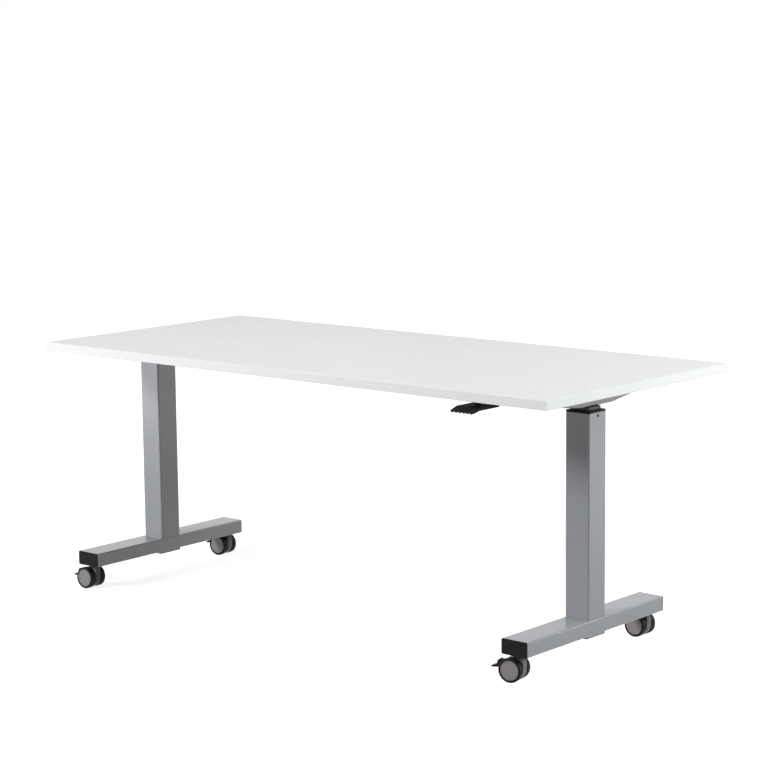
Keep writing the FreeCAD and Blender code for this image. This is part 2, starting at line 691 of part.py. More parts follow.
def build_release_heads():
    heads = []
    slot = "rocker_width + 2*rocker_side_gap"
    for side in SIDES:
        head = body("ReleaseHead", x=leg_x(side), y=COLUMN_Y, z=HEAD_SEAT, turn=facing(side))
        block = sketch_on(head, "XY_Plane")
        middle_rectangle(block, "head_length", "head_width", "head_round")
        pad(head, block, "head_block")
        ears = sketch_on(head, "XZ_Plane")
        outline(ears, [
            ("rocker_offset - ear_half_length", "0"),
            ("rocker_offset + ear_half_length", "0"),
            ("rocker_offset + ear_half_length", "rocker_rise + ear_cap", "ear_cap"),
            ("rocker_offset - ear_half_length", "rocker_rise + ear_cap", "ear_cap"),
        ])
        pad(head, ears, f"{slot} + 2*ear_thickness", symmetric=True)
        gap = sketch_on(head, "XZ_Plane")
        rectangle(
            gap,
            ("rocker_offset - ear_half_length - stop_margin", "head_block"),
            ("rocker_offset + ear_half_length + stop_margin", "rocker_rise + 2*ear_cap"),
        )
        pocket(head, gap, slot, symmetric=True)
        stop = sketch_on(head, "XZ_Plane")
        rectangle(
            stop,
            ("-head_length/2", "0"),
            ("-head_length/2 + stop_thickness", f"{WIRE_RISE} + stop_margin"),
        )
        pad(head, stop, "stop_width", symmetric=True)
        thread = sketch_on(head, "XY_Plane")
        circle(thread, "0", "0", "neck_radius")
        pocket(head, thread, "head_block", reverse=True)
        pivot = sketch_on(head, "XZ_Plane")
        circle(pivot, "rocker_offset", "rocker_rise", "rocker_pin_radius + running_fit")
        pocket(head, pivot, "head_width", symmetric=True)
        wire = sketch_on(head, "YZ_Plane")
        circle(wire, "0", WIRE_RISE, "wire_radius + hole_clearance")
        pocket(head, wire, "head_length")
        heads.append(head)
    keep("release_heads", group("ReleaseHeads", heads))


def build_rocker(side):
    """Bell crank: its nose presses the valve pin when the wire pulls its fork."""
    nose_z = "head_block + pin_rise + rocker_nose_gap + rocker_nose_radius"
    top = f"{WIRE_RISE} + stop_margin"
    back = "rocker_offset + rocker_back"
    front = f"{back} - rocker_post"
    rocker = body("Rocker", x=leg_x(side), y=COLUMN_Y, z=HEAD_SEAT, turn=facing(side))
    nose = sketch_on(rocker, "XZ_Plane")
    circle(nose, "0", nose_z, "rocker_nose_radius")
    pad(rocker, nose, "rocker_width", symmetric=True)
    plate = sketch_on(rocker, "XZ_Plane")
    outline(plate, [
        ("-rocker_nose_radius", nose_z),
        ("rocker_nose_radius", nose_z),
        (back, "rocker_rise - rocker_back", "rocker_round"),
        (back, top, "rocker_round"),
        (front, top, "rocker_round"),
        (front, "rocker_rise + rocker_back", "rocker_round"),
        ("-rocker_nose_radius", f"{nose_z} + rocker_nose_radius", "rocker_round"),
    ])
    pad(rocker, plate, "rocker_width", symmetric=True)
    trunnions = sketch_on(rocker, "XZ_Plane")
    circle(trunnions, "rocker_offset", "rocker_rise", "rocker_pin_radius")
    pad(rocker, trunnions, "rocker_width + 2*rocker_side_gap + 2*ear_thickness", symmetric=True)
    fork = sketch_on(rocker, "XZ_Plane")
    rectangle(
        fork,
        (f"{front} - stop_margin", "rocker_rise + rocker_back"),
        (f"{back} + stop_margin", f"{top} + stop_margin"),
    )
    pocket(rocker, fork, "fork_width", symmetric=True)
    keep(f"{side}_release_rocker", rocker)


def build_valve_pins():
    pins = []
    for side in SIDES:
        pin = doc.addObject("Part::Cylinder", "ValvePin")
        pin.setExpression("Radius", bound("pin_radius"))
        pin.setExpression("Height", bound("pin_length"))
        place(pin, x=leg_x(side), y=COLUMN_Y, z=f"{HEAD_TOP} + pin_rise - pin_length")
        pins.append(pin)
    keep("valve_pins", group("ValvePins", pins))


def build_lever():
    """Moulded hand lever: flat arm, drooped ribbed front, two lugs on the pin."""
    arm_top = "-lever_drop"
    arm_foot = "-lever_drop - lever_thickness"
    bend_y = "paddle_reach - lever_reach"
    lever = body("Lever", x=LEVER_X, y=PIVOT_Y, z=UNDERSIDE)
    side_view = sketch_on(lever, "YZ_Plane")
    outline(side_view, [
        ("lever_tail", arm_foot),
        ("lever_tail", arm_top),
        (bend_y, arm_top, "paddle_bend"),
        ("-lever_reach", f"{arm_foot} - paddle_drop + paddle_tip", "paddle_round"),
        ("-lever_reach", f"{arm_foot} - paddle_drop", "paddle_round"),
        (bend_y, arm_foot, "paddle_bend"),
    ])
    pad(lever, side_view, "lever_width", symmetric=True)
    ribs = sketch_on(lever, "XZ_Plane", y=f"{arm_foot} - paddle_drop + rib_sink", off="lever_reach")
    ribs.AttachmentOffset.Rotation = FreeCAD.Rotation(FreeCAD.Vector(1, 0, 0), 1)
    ribs.setExpression("AttachmentOffset.Rotation.Angle", bound("atan2(paddle_drop; paddle_reach)"))
    for step in range(int(number("rib_count"))):
        circle(ribs, f"lever_width*(({step} + 1/2)/rib_count - 1/2)", "0", "rib_radius")
    pad(lever, ribs, "paddle_reach", reverse=True)
    for sign in (-1, 1):
        web = sketch_on(lever, "YZ_Plane", off=f"{sign}*lug_spread")
        rectangle(web, ("-lug_radius", arm_foot), ("lug_radius", "-pivot_drop"))
        pad(lever, web, "lug_thickness", symmetric=True)
        eye = sketch_on(lever, "YZ_Plane", off=f"{sign}*lug_spread")
        circle(eye, "0", "-pivot_drop", "lug_radius")
        pad(lever, eye, "lug_thickness", symmetric=True)
    pin_hole = sketch_on(lever, "YZ_Plane")
    circle(pin_hole, "0", "-pivot_drop", "lever_pin_radius + running_fit")
    pocket(lever, pin_hole, "lever_width", symmetric=True)
    wires = sketch_on(lever, "XZ_Plane", off="-lever_tail")
    for sign in (-1, 1):
        circle(wires, f"{sign}*wire_spread", "-pivot_drop - wire_drop", "wire_radius + wire_slack")
    pocket(lever, wires, "wire_grip + wire_slack", reverse=True)
    keep("release_lever", lever)

    pin = doc.addObject("Part::Cylinder", "LeverPin")
    half_pin = f"({EAR_X} + sheet_wall + lever_pin_overhang)"
    pin.Placement.Rotation = FreeCAD.Rotation(FreeCAD.Vector(0, 1, 0), 90)
    pin.setExpression("Radius", bound("lever_pin_radius"))
    pin.setExpression("Height", bound(f"2*{half_pin}"))
    for axis, text in zip("xyz", (f"{LEVER_X} - {half_pin}", PIVOT_Y, f"{UNDERSIDE} - pivot_drop")):
        pin.setExpression(f"Placement.Base.{axis}", bound(text))
    keep("lever_pin", pin)


def build_lever_bracket():
    """Folded sheet: a screw plate, two ears for the pin and a rear tab that stops the cables."""
    holder = body("LeverBracket", x=LEVER_X, y=PIVOT_Y, z=UNDERSIDE)
    plate = sketch_on(holder, "XY_Plane")
    rectangle(
        plate,
        ("-holder_length/2", "-holder_front"),
        ("holder_length/2", "holder_tab_place + sheet_wall"),
    )
    pad(holder, plate, "sheet_wall", reverse=True)
    for sign in (-1, 1):
        ear = sketch_on(holder, "YZ_Plane", off=f"{sign}*{EAR_X}")
        outline(ear, [
            ("-holder_front", "-sheet_wall/2"),
            ("-holder_ear_radius", "-pivot_drop"),
            ("holder_ear_radius", "-pivot_drop"),
            ("holder_front", "-sheet_wall/2"),
        ])
        pad(holder, ear, "sheet_wall", reverse=sign < 0)
        eye = sketch_on(holder, "YZ_Plane", off=f"{sign}*{EAR_X}")
        circle(eye, "0", "-pivot_drop", "holder_ear_radius")
        pad(holder, eye, "sheet_wall", reverse=sign < 0)
    tab = sketch_on(holder, "XZ_Plane", off="-holder_tab_place - sheet_wall")
    rectangle(
        tab,
        ("-holder_tab_width/2", "-pivot_drop - wire_drop - holder_tab_margin"),
        ("holder_tab_width/2", "-sheet_wall/2"),
    )
    pad(holder, tab, "sheet_wall")
    drilled = sketch_on(holder, "XY_Plane")
    for flank in (-1, 1):
        for row in HOLDER_ROWS:
            circle(drilled, f"{flank}*{HOLDER_SPREAD}", row, "screw_radius + hole_clearance")
    pocket(holder, drilled, "sheet_wall")
    pin_hole = sketch_on(holder, "YZ_Plane")
    circle(pin_hole, "0", "-pivot_drop", "lever_pin_radius")
    pocket(holder, pin_hole, "holder_length", symmetric=True)
    wires = sketch_on(holder, "XZ_Plane", off="-holder_tab_place - sheet_wall")
    for sign in (-1, 1):
        circle(wires, f"{sign}*wire_spread", "-pivot_drop - wire_drop", "wire_radius + hole_clearance")
    pocket(holder, wires, "sheet_wall", reverse=True)
    keep("lever_bracket", holder)


def rounded_path(points, radius):
    """Straight runs joined by tangent arcs of one radius."""
    edges = []
    here = points[0]
    for index in range(1, len(points) - 1):
        corner = points[index]
        back = (points[index - 1] - corner).normalize()
        ahead = (points[index + 1] - corner).normalize()
        half_angle = math.acos(back.dot(ahead)) / 2
        setback = radius / math.tan(half_angle)
        inward = (back + ahead).normalize()
        crown = corner + inward * (radius / math.sin(half_angle) - radius)
        edges.append(Part.LineSegment(here, corner + back * setback).toShape())
        edges.append(Part.Arc(corner + back * setback, crown, corner + ahead * setback).toShape())
        here = corner + ahead * setback
    edges.append(Part.LineSegment(here, points[-1]).toShape())
    return Part.Wire(edges)


def round_tube(path, radius):
    """A round cord along a path, its volume held against section times length."""
    start = path.Edges[0]
    direction = start.tangentAt(start.FirstParameter)
    ring = Part.Wire(Part.Circle(start.Vertexes[0].Point, direction, radius).toShape())
    tube = path.makePipeShell([ring], True, False)
    expected = math.pi * radius ** 2 * path.Length
    if abs(tube.Volume - expected) > 0.01 * expected:
        raise RuntimeError("the cable's volume is off its section times its length")
    return tube


def straight_rod(start, stop, radius):
    return Part.makeCylinder(radius, (stop - start).Length, start, stop - start)


def build_cable(side):
    """Bowden cable: sheath from the lever's tab to the release head, bare wire past both ferrules."""
    sign = SIDES[side]
    along = FreeCAD.Vector(sign, 0, 0)
    back = FreeCAD.Vector(0, 1, 0)
    column_y = number(COLUMN_Y)
    cable_z = number(CABLE_Z)
    tab = FreeCAD.Vector(number(f"{LEVER_X} + {sign}*wire_spread"), number(TAB_Y), number(WIRE_Z))
    turn = FreeCAD.Vector(number(f"{LEVER_X} + {sign}*cable_sweep"), column_y, cable_z)
    stop = FreeCAD.Vector(number(f"{sign}*({LEG_X} - head_length/2)"), column_y, cable_z)
    route = [tab, tab + back * number("cable_run_in"), turn, stop]
    sheath = round_tube(rounded_path(route, number("cable_bend")), number("cable_radius"))
    tab_ferrule = tab + back * number("ferrule_length")
    stop_ferrule = stop - along * number("ferrule_length")
    lever_end = FreeCAD.Vector(tab.x, number(f"{PIVOT_Y} + lever_tail - wire_grip"), tab.z)
    head_end = stop + along * number("head_length/2 + rocker_offset")
    cable = doc.addObject("Part::Feature", "Cable")
    cable.Shape = sheath.fuse([
        straight_rod(tab_ferrule, tab, number("ferrule_radius")),
        straight_rod(stop_ferrule, stop, number("ferrule_radius")),
        straight_rod(tab_ferrule, lever_end, number("wire_radius")),
        straight_rod(stop_ferrule, head_end, number("wire_radius")),
    ])
    keep(f"{side}_release_cable", cable)


def build_clips():
    clips = []
    for x in CLIP_X:
        clip = body("Clip", x=x, y=COLUMN_Y, z=UNDERSIDE)
        half = "(cable_radius + clip_lip)"
        section = sketch_on(clip, "YZ_Plane")
        outline(section, [
            (half, "0"),
            (f"-{half} - clip_tab", "0"),
            (f"-{half} - clip_tab", "-sheet_wall"),
            (f"-{half}", "-sheet_wall"),
            (f"-{half}", f"{CABLE_Z} - {UNDERSIDE} - {half}", "clip_lip"),
            (half, f"{CABLE_Z} - {UNDERSIDE} - {half}", "clip_lip"),
        ])
        pad(clip, section, "clip_length", symmetric=True)
        bore = sketch_on(clip, "YZ_Plane")
        circle(bore, "0", f"{CABLE_Z} - {UNDERSIDE}", "cable_radius + running_fit")
        pocket(clip, bore, "clip_length", symmetric=True)
        hole = sketch_on(clip, "XY_Plane")
        circle(hole, "0", f"-{CLIP_SCREW_Y}", "screw_radius + hole_clearance")
        pocket(clip, hole, "sheet_wall")
        clips.append(clip)
    keep("cable_clips", group("CableClips", clips))


def bolt_pattern(sketch, radius):
    for across in (-1, 1):
        for along in (-1, 1):
            circle(sketch, f"{across}*bolt_spacing/2", f"{along}*bolt_spacing/2", radius)


def round_rim(cap):
    """Round the outer edges of an end cap's face."""
    doc.recompute()
    face = cap.Tip
    depth = -number("cap_face")
    rim = [
        f"Edge{index}"
        for index, edge in enumerate(face.Shape.Edges, start=1)
        if all(abs(vertex.Y - depth) < 1e-6 for vertex in edge.Vertexes)
    ]
    rounding = cap.newObject("PartDesign::Fillet", "Rim")
    rounding.Base = (face, rim)
    rounding.setExpression("Radius", bound("cap_round"))


def build_outer_column(side):
    tube = body("OuterTube", x=leg_x(side), y=COLUMN_Y, z=FOOT_TOP)
    section = sketch_on(tube, "XY_Plane")
    middle_rectangle(section, "column_width", "column_width", "column_round")
    pad(tube, section, f"{TUBE_TOP} - {FOOT_TOP}")
    bore = sketch_on(tube, "XY_Plane", off="base_block")
    middle_rectangle(bore, COLUMN_BORE, COLUMN_BORE)
    pocket(tube, bore, reverse=True)
    threads = sketch_on(tube, "XY_Plane")
    bolt_pattern(threads, "bolt_radius")
    circle(threads, "0", "0", "rod_stud_radius")
    pocket(tube, threads, "base_block", reverse=True)
    peep = sketch_on(tube, "YZ_Plane")
    circle(peep, "0", f"{TUBE_TOP} - {FOOT_TOP} - peep_hole_drop", "peep_hole_radius")
    pocket(tube, peep, "column_width", symmetric=True)
    keep(f"{side}_outer_tube", tube)

    collar = body("Collar", x=leg_x(side), y=COLUMN_Y, z=TUBE_TOP)
    flange = sketch_on(collar, "XY_Plane")
    middle_rectangle(flange, "column_width", "column_width", "column_round")
    pad(collar, flange, "collar_thickness")
    skirt = sketch_on(collar, "XY_Plane")
    skirt_width = f"{COLUMN_BORE} - 2*plug_clearance"
    middle_rectangle(skirt, skirt_width, skirt_width)
    pad(collar, skirt, "collar_depth", reverse=True)
    mouth = sketch_on(collar, "XY_Plane", off="-collar_depth")
    mouth_width = "inner_width + 2*glide_clearance"
    middle_rectangle(mouth, mouth_width, mouth_width, "inner_round")
    pocket(collar, mouth, reverse=True)
    keep(f"{side}_top_collar", collar)

    rod = body("PistonRod", x=leg_x(side), y=COLUMN_Y)
    section = sketch_on(rod, "XZ_Plane")
    piston_radius = f"({CYLINDER_BORE} - glide_clearance)"
    outline(section, [
        ("0", FOOT_TOP),
        ("rod_stud_radius", FOOT_TOP),
        ("rod_stud_radius", BLOCK_TOP),
        ("rod_nut_radius", BLOCK_TOP),
        ("rod_nut_radius", f"{BLOCK_TOP} + rod_nut_height"),
        ("rod_radius", f"{BLOCK_TOP} + rod_nut_height"),
        ("rod_radius", PISTON_FOOT),
        (piston_radius, PISTON_FOOT),
        (piston_radius, f"{PISTON_FOOT} + piston_height"),
        ("0", f"{PISTON_FOOT} + piston_height"),
    ])
    revolve(rod, section)
    keep(f"{side}_piston_rod", rod)


def build_foot(side):
    bore_width = "foot_width - 2*foot_wall"
    bore_height = "foot_height - 2*foot_wall"
    foot = body("Foot", x=leg_x(side), y=COLUMN_Y, z=f"{CASTOR_HEIGHT} + foot_height/2")
    section = sketch_on(foot, "XZ_Plane")
    middle_rectangle(section, "foot_width", "foot_height", "foot_round")
    pad(foot, section, "foot_length - 2*cap_face", symmetric=True)
    bore = sketch_on(foot, "XZ_Plane")
    middle_rectangle(bore, bore_width, bore_height)
    pocket(foot, bore, "foot_length", symmetric=True)
    bolt_holes = sketch_on(foot, "XY_Plane")
    bolt_pattern(bolt_holes, "bolt_radius + hole_clearance")
    pocket(foot, bolt_holes, "foot_height", symmetric=True)
    stem_holes = sketch_on(foot, "XY_Plane")
    for sign in ENDS.values():
        circle(stem_holes, "0", f"{sign}*(foot_length/2 - castor_inset)", "stem_radius + running_fit")
    pocket(foot, stem_holes)
    keep(f"{side}_foot_tube", foot)

    caps = []
    for end, sign in ENDS.items():
        cap = body(
            "FootCap",
            x=leg_x(side),
            y=f"{COLUMN_Y} + {sign}*(foot_length/2 - cap_face)",
            z=f"{CASTOR_HEIGHT} + foot_height/2",
            turn="180" if end == "rear" else "0",
        )
        face = sketch_on(cap, "XZ_Plane")
        middle_rectangle(face, "foot_width", "foot_height", "foot_round")
        pad(cap, face, "cap_face")
        round_rim(cap)
        plug = sketch_on(cap, "XZ_Plane")
        plug_width = f"{bore_width} - 2*plug_clearance"
        plug_height = f"{bore_height} - 2*plug_clearance"
        middle_rectangle(plug, plug_width, plug_height)
        pad(cap, plug, "cap_plug", reverse=True)
        hollow = sketch_on(cap, "XZ_Plane")
        middle_rectangle(hollow, f"{plug_width} - 2*cap_wall", f"{plug_height} - 2*cap_wall")
        pocket(cap, hollow, "cap_plug")
        caps.append(cap)
    keep(f"{side}_foot_caps", group("FootCaps", caps))

    plate = body("ClampPlate", x=leg_x(side), y=COLUMN_Y, z=f"{CASTOR_HEIGHT} - plate_thickness")
    section = sketch_on(plate, "XY_Plane")
    middle_rectangle(section, "plate_width", "plate_length", "plate_round")
    pad(plate, section, "plate_thickness")
    holes = sketch_on(plate, "XY_Plane")
    bolt_pattern(holes, "bolt_radius + hole_clearance")
    drilled = pocket(plate, holes, reverse=True)
    rims = [
        f"Edge{index}"
        for index, edge in enumerate(plate.Shape.Edges, start=1)
        if edge.Closed and abs(edge.CenterOfMass.z - plate.Placement.Base.z) < 1e-6
    ]
    countersink = plate.newObject("PartDesign::Chamfer", "Countersink")
    countersink.Base = (drilled, rims)
    countersink.setExpression("Size", bound("bolt_head_radius - bolt_radius"))
    keep(f"{side}_base_plate", plate)

    bolt = body("ColumnBolt")
    section = sketch_on(bolt, "XZ_Plane")
    outline(section, [
        ("0", f"{CASTOR_HEIGHT} - plate_thickness"),
        ("bolt_head_radius", f"{CASTOR_HEIGHT} - plate_thickness"),
        ("bolt_radius", f"{CASTOR_HEIGHT} - plate_thickness + bolt_head_radius - bolt_radius"),
        ("bolt_radius", BLOCK_TOP),
        ("0", BLOCK_TOP),
    ])
    revolve(bolt, section)
    spots = [
        (f"({leg_x(side)} + {across}*bolt_spacing/2)", f"({COLUMN_Y} + {along}*bolt_spacing/2)", "0", "0")
        for across in (-1, 1)
        for along in (-1, 1)
    ]
    keep(f"{side}_column_bolts", copies("ColumnBolts", bolt, spots))


def build_castor(side, end):
    where = {
        "x": leg_x(side),
        "y": f"({COLUMN_Y} + {ENDS[end]}*(foot_length/2 - castor_inset))",
        "turn": f"{side}_{end}_swivel",
    }
    name = f"{side}_{end}"
    build_castor_body(name, where)
    build_pedal(name, where)
    for wheel, sign in ENDS.items():
        build_wheel(f"{name}_{wheel}", where, sign)


def build_castor_body(name, where):
    """Round body between the wheels, with boss and stem above and the axle across."""
    frame = body("CastorBody", **where)
    guard = sketch_on(frame, "XZ_Plane")
    circle(guard, "-castor_trail", WHEEL_RADIUS, GUARD_RADIUS)
    pad(frame, guard, WEB_WIDTH, symmetric=True)
    neck = sketch_on(frame, "XZ_Plane")
    rectangle(neck, ("-boss_radius", WHEEL_RADIUS), (f"{GUARD_RADIUS} - castor_trail", BOSS_TOP))
    pad(frame, neck, WEB_WIDTH, symmetric=True)
    boss = sketch_on(frame, "XY_Plane", off=BOSS_FOOT)
    circle(boss, "0", "0", "boss_radius")
    pad(frame, boss, f"{BOSS_TOP} - {BOSS_FOOT}")
    stem = sketch_on(frame, "XY_Plane", off=BOSS_FOOT)
    circle(stem, "0", "0", "stem_radius")
    pad(frame, stem, f"{CASTOR_HEIGHT} + stem_length - {BOSS_FOOT}")
    slot = sketch_on(frame, "XZ_Plane")
    rectangle(
        slot,
        (f"-castor_trail - {WHEEL_RADIUS}", f"{WHEEL_RADIUS} + web_inset"),
        (f"{PEDAL_X} + pedal_slot_reach", CASTOR_HEIGHT),
    )
    pocket(frame, slot, "pedal_root + 2*pedal_root_gap", symmetric=True)
    pivot = sketch_on(frame, "XZ_Plane")
    circle(pivot, PEDAL_X, PEDAL_Z, "pedal_pin_radius + running_fit")
    pocket(frame, pivot, WEB_WIDTH, symmetric=True)
    axle = sketch_on(frame, "XZ_Plane")
    circle(axle, "-castor_trail", WHEEL_RADIUS, "axle_radius")
    pad(frame, axle, "wheel_gap + 2*(wheel_width - axle_cover)", symmetric=True)
    keep(f"{name}_castor_body", frame)


def build_pedal(name, where):
    """Brake pedal: a root on trunnions in the body, a block and a tongue behind the wheels."""
    pedal = body("Pedal", **where)
    outside = sketch_on(pedal, "XZ_Plane", x=PEDAL_X, y=PEDAL_Z)
    outline(outside, [
        ("-pedal_crest_back", "pedal_crest_rise", "pedal_round"),
        ("-pedal_step_back", "pedal_step_rise", "pedal_round"),
        ("-tongue_back", "-tongue_drop", "pedal_round"),
        ("-tongue_reach", "-tongue_dip", "tongue_round"),
        ("-tongue_reach", "-tongue_dip - tongue_thickness", "tongue_round"),
        ("-tongue_root_back", "-tongue_root_drop", "pedal_round"),
        ("-pedal_heel_back", "-pedal_heel_drop", "pedal_round"),
    ])
    pad(pedal, outside, "wheel_gap - 2*pedal_side_gap", symmetric=True)
    root = sketch_on(pedal, "XZ_Plane", x=PEDAL_X, y=PEDAL_Z)
    outline(root, [
        ("pedal_root_size/2", "-pedal_root_size/2", "pedal_round"),
        ("pedal_root_size/2", "pedal_root_size/2", "pedal_round"),
        ("-pedal_crest_back", "pedal_crest_rise - pedal_round"),
        ("-pedal_step_back + pedal_round", "pedal_step_rise - pedal_round"),
        ("-pedal_step_back + pedal_round", "-tongue_drop - pedal_round"),
    ])
    pad(pedal, root, "pedal_root", symmetric=True)
    trunnions = sketch_on(pedal, "XZ_Plane")
    circle(trunnions, PEDAL_X, PEDAL_Z, "pedal_pin_radius")
    pad(pedal, trunnions, WEB_WIDTH, symmetric=True)
    keep(f"{name}_brake_pedal", pedal)


def build_wheel(name, where, sign):
    inner = f"{sign}*(wheel_gap/2)"
    outer = f"{sign}*(wheel_gap/2 + wheel_width)"
    disc_inner = f"{sign}*(wheel_gap/2 + disc_recess)"
    disc_outer = f"{sign}*(wheel_gap/2 + wheel_width - disc_recess)"
    bevel_foot = f"{sign}*(wheel_gap/2 + wheel_width - disc_recess - disc_bevel)"
    bore_end = f"{sign}*(wheel_gap/2 + wheel_width - axle_cover + running_fit)"
    disc = body("Disc", **where)
    section = sketch_on(disc, "XY_Plane", x="-castor_trail", off=WHEEL_RADIUS)
    outline(section, [
        ("axle_radius + running_fit", disc_inner),
        (DISC_RADIUS, disc_inner),
        (DISC_RADIUS, bevel_foot),
        (f"{DISC_RADIUS} - disc_bevel", disc_outer),
        ("0", disc_outer),
        ("0", bore_end),
        ("axle_radius + running_fit", bore_end),
    ])
    revolve(disc, section)
    keep(f"{name}_disc", disc)

    tyre = body("Tyre", **where)
    section = sketch_on(tyre, "XY_Plane", x="-castor_trail", off=WHEEL_RADIUS)
    outline(section, [
        (DISC_RADIUS, inner),
        (WHEEL_RADIUS, inner, "tyre_round"),
        (WHEEL_RADIUS, outer, "tyre_round"),
        (DISC_RADIUS, outer),
    ])
    revolve(tyre, section)
    keep(f"{name}_tyre", tyre)


def check_document():
    """Stop if an object failed, or a sub-part is empty or invalid."""
    doc.recompute()
    failed = [item.Name for item in doc.Objects if {"Invalid", "Error"} & set(item.State)]
    if failed:
        raise RuntimeError("failed: " + ", ".join(failed))
    for piece in parts:
        if piece.Shape.isNull() or not piece.Shape.isValid():
            raise RuntimeError(piece.Label + " has no valid shape")


build_top()
for leg in SIDES:
    build_bracket(leg)
    build_inner_column(leg)
    build_rocker(leg)
    build_cable(leg)
    build_outer_column(leg)
    build_foot(leg)
    for foot_end in ENDS:
        build_castor(leg, foot_end)
build_cross_beam()
build_glides()
build_release_heads()
build_valve_pins()
build_lever()
build_lever_bracket()
build_clips()
check_document()

os.makedirs("parts", exist_ok=True)
for piece in parts:
    piece.Shape.exportStep(f"parts/{piece.Label}.step")
print(len(parts), "sub-parts")
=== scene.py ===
import math

import bpy
from mathutils import Euler, Matrix, Vector


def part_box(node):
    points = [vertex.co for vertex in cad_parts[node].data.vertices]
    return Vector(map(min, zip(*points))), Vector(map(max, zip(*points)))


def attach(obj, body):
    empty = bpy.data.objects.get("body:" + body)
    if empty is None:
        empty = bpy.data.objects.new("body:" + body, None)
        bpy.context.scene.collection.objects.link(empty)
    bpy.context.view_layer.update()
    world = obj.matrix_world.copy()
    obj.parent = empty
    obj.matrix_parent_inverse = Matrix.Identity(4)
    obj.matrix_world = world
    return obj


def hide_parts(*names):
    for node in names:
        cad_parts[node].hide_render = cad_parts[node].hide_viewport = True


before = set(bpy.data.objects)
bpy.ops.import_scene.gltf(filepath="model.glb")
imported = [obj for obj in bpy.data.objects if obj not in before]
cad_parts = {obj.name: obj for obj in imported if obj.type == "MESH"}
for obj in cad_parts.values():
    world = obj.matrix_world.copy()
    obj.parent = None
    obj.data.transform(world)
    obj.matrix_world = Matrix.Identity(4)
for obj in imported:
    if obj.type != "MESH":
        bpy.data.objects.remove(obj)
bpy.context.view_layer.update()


# Feet. Two rectangular steel tubes in an aluminium-grey powder coat, each lying across under its
# column. The coat has fine metal flakes and the slight orange peel of baked powder.

SIDES = ("left", "right")
SILVER_DEEP = (0.203, 0.217, 0.235, 1)
SILVER_PALE = (0.263, 0.278, 0.300, 1)


class Value:
    """What changes over a surface. Sums on it become Math nodes."""

    def __init__(self, wiring, socket):
        self.wiring = wiring
        self.socket = socket

    def worked(self, operation, first, second=0.0):
        return self.wiring.node("ShaderNodeMath", {"operation": operation}, {0: first, 1: second})

    def __add__(self, other):
        return self.worked("ADD", self, other)

    def __sub__(self, other):
        return self.worked("SUBTRACT", self, other)

    def __rsub__(self, other):
        return self.worked("SUBTRACT", other, self)

    def __mul__(self, other):
        return self.worked("MULTIPLY", self, other)

    def __gt__(self, other):
        return self.worked("GREATER_THAN", self, other)

    def __lt__(self, other):
        return self.worked("LESS_THAN", self, other)

    def __abs__(self):
        return self.worked("ABSOLUTE", self)

    __radd__ = __add__
    __rmul__ = __mul__


class Wiring:
    """The nodes of a finish or of the studio's surround."""

    def __init__(self, tree):
        self.tree = tree

    def node(self, kind, settings, sockets, output=0):
        """Any node: its type, its settings, then the values or links of its sockets."""
        made = self.tree.nodes.new(kind)
        for name, setting in settings.items():
            setattr(made, name, setting)
        self.feed(made, sockets)
        return Value(self, made.outputs[output])

    def feed(self, made, sockets):
        for name, fed in sockets.items():
            if isinstance(fed, Value):
                self.tree.links.new(fed.socket, made.inputs[name])
            else:
                made.inputs[name].default_value = fed


class Finish(Wiring):
    """One surface finish, worked out from the place on the piece."""

    def __init__(self, name):
        self.material = bpy.data.materials.new(name)
        self.material.use_nodes = True
        super().__init__(self.material.node_tree)
        self.shader = self.tree.nodes["Principled BSDF"]
        self.place = self.node("ShaderNodeTexCoord", {}, {}, "Object")

    def noise(self, per_metre, detail, place=None):
        return self.node(
            "ShaderNodeTexNoise", {}, {"Vector": place or self.place, "Scale": per_metre, "Detail": detail}
        )

    def cells(self, per_metre):
        """A random grey in each small cell, as of flakes or spangles."""
        grey = self.node(
            "ShaderNodeTexVoronoi", {}, {"Vector": self.place, "Scale": per_metre}, "Color"
        )
        return self.node("ShaderNodeSeparateColor", {}, {"Color": grey})

    def between(self, first, second, share):
        """A colour part of the way from one to another."""
        return self.node("ShaderNodeMix", {"data_type": "RGBA"}, {0: share, 6: first, 7: second}, 2)

    def bump(self, height, strength, depth):
        return self.node(
            "ShaderNodeBump", {}, {"Height": height, "Strength": strength, "Distance": depth}
        )

    def surface(self, **sockets):
        self.feed(self.shader, {name.replace("_", " "): fed for name, fed in sockets.items()})


def dress(finish, *nodes):
    """Give CAD pieces a finish."""
    for node in nodes:
        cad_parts[node].material_slots[0].material = finish.material


def powder_coat(name, deep, pale, metal, gloss, lacquer):
    """Baked powder with flakes under clear lacquer: two tones, metal share, roughness, lacquer."""
    coat = Finish(name)
    flakes = coat.cells(per_metre=2600.0)
    cloud = coat.noise(per_metre=5.0, detail=3.0)
    peel = coat.noise(per_metre=420.0, detail=1.0)
    coat.surface(
        Base_Color=coat.between(deep, pale, flakes * 0.55 + cloud * 0.45),
        Metallic=metal,
        Specular_IOR_Level=0.30,
        Roughness=gloss + 0.10 * flakes - 0.05 * cloud,
        Coat_Weight=lacquer,
        Coat_Roughness=0.14,
        Normal=coat.bump(peel + 0.15 * flakes, strength=0.10, depth=0.0004),
    )
    return coat


silver_coat = powder_coat(
    "silver_powder_coat", SILVER_DEEP, SILVER_PALE, metal=0.14, gloss=0.38, lacquer=0.70
)
for side in SIDES:
    dress(silver_coat, f"{side}_foot_tube")


# End caps of the feet. Injection-moulded black plastic plugs, pressed into the open ends of the
# tubes, with the matt spark-eroded grain of their mould.

CAP_DEEP = (0.0050, 0.0043, 0.0040, 1)
CAP_PALE = (0.0086, 0.0075, 0.0070, 1)


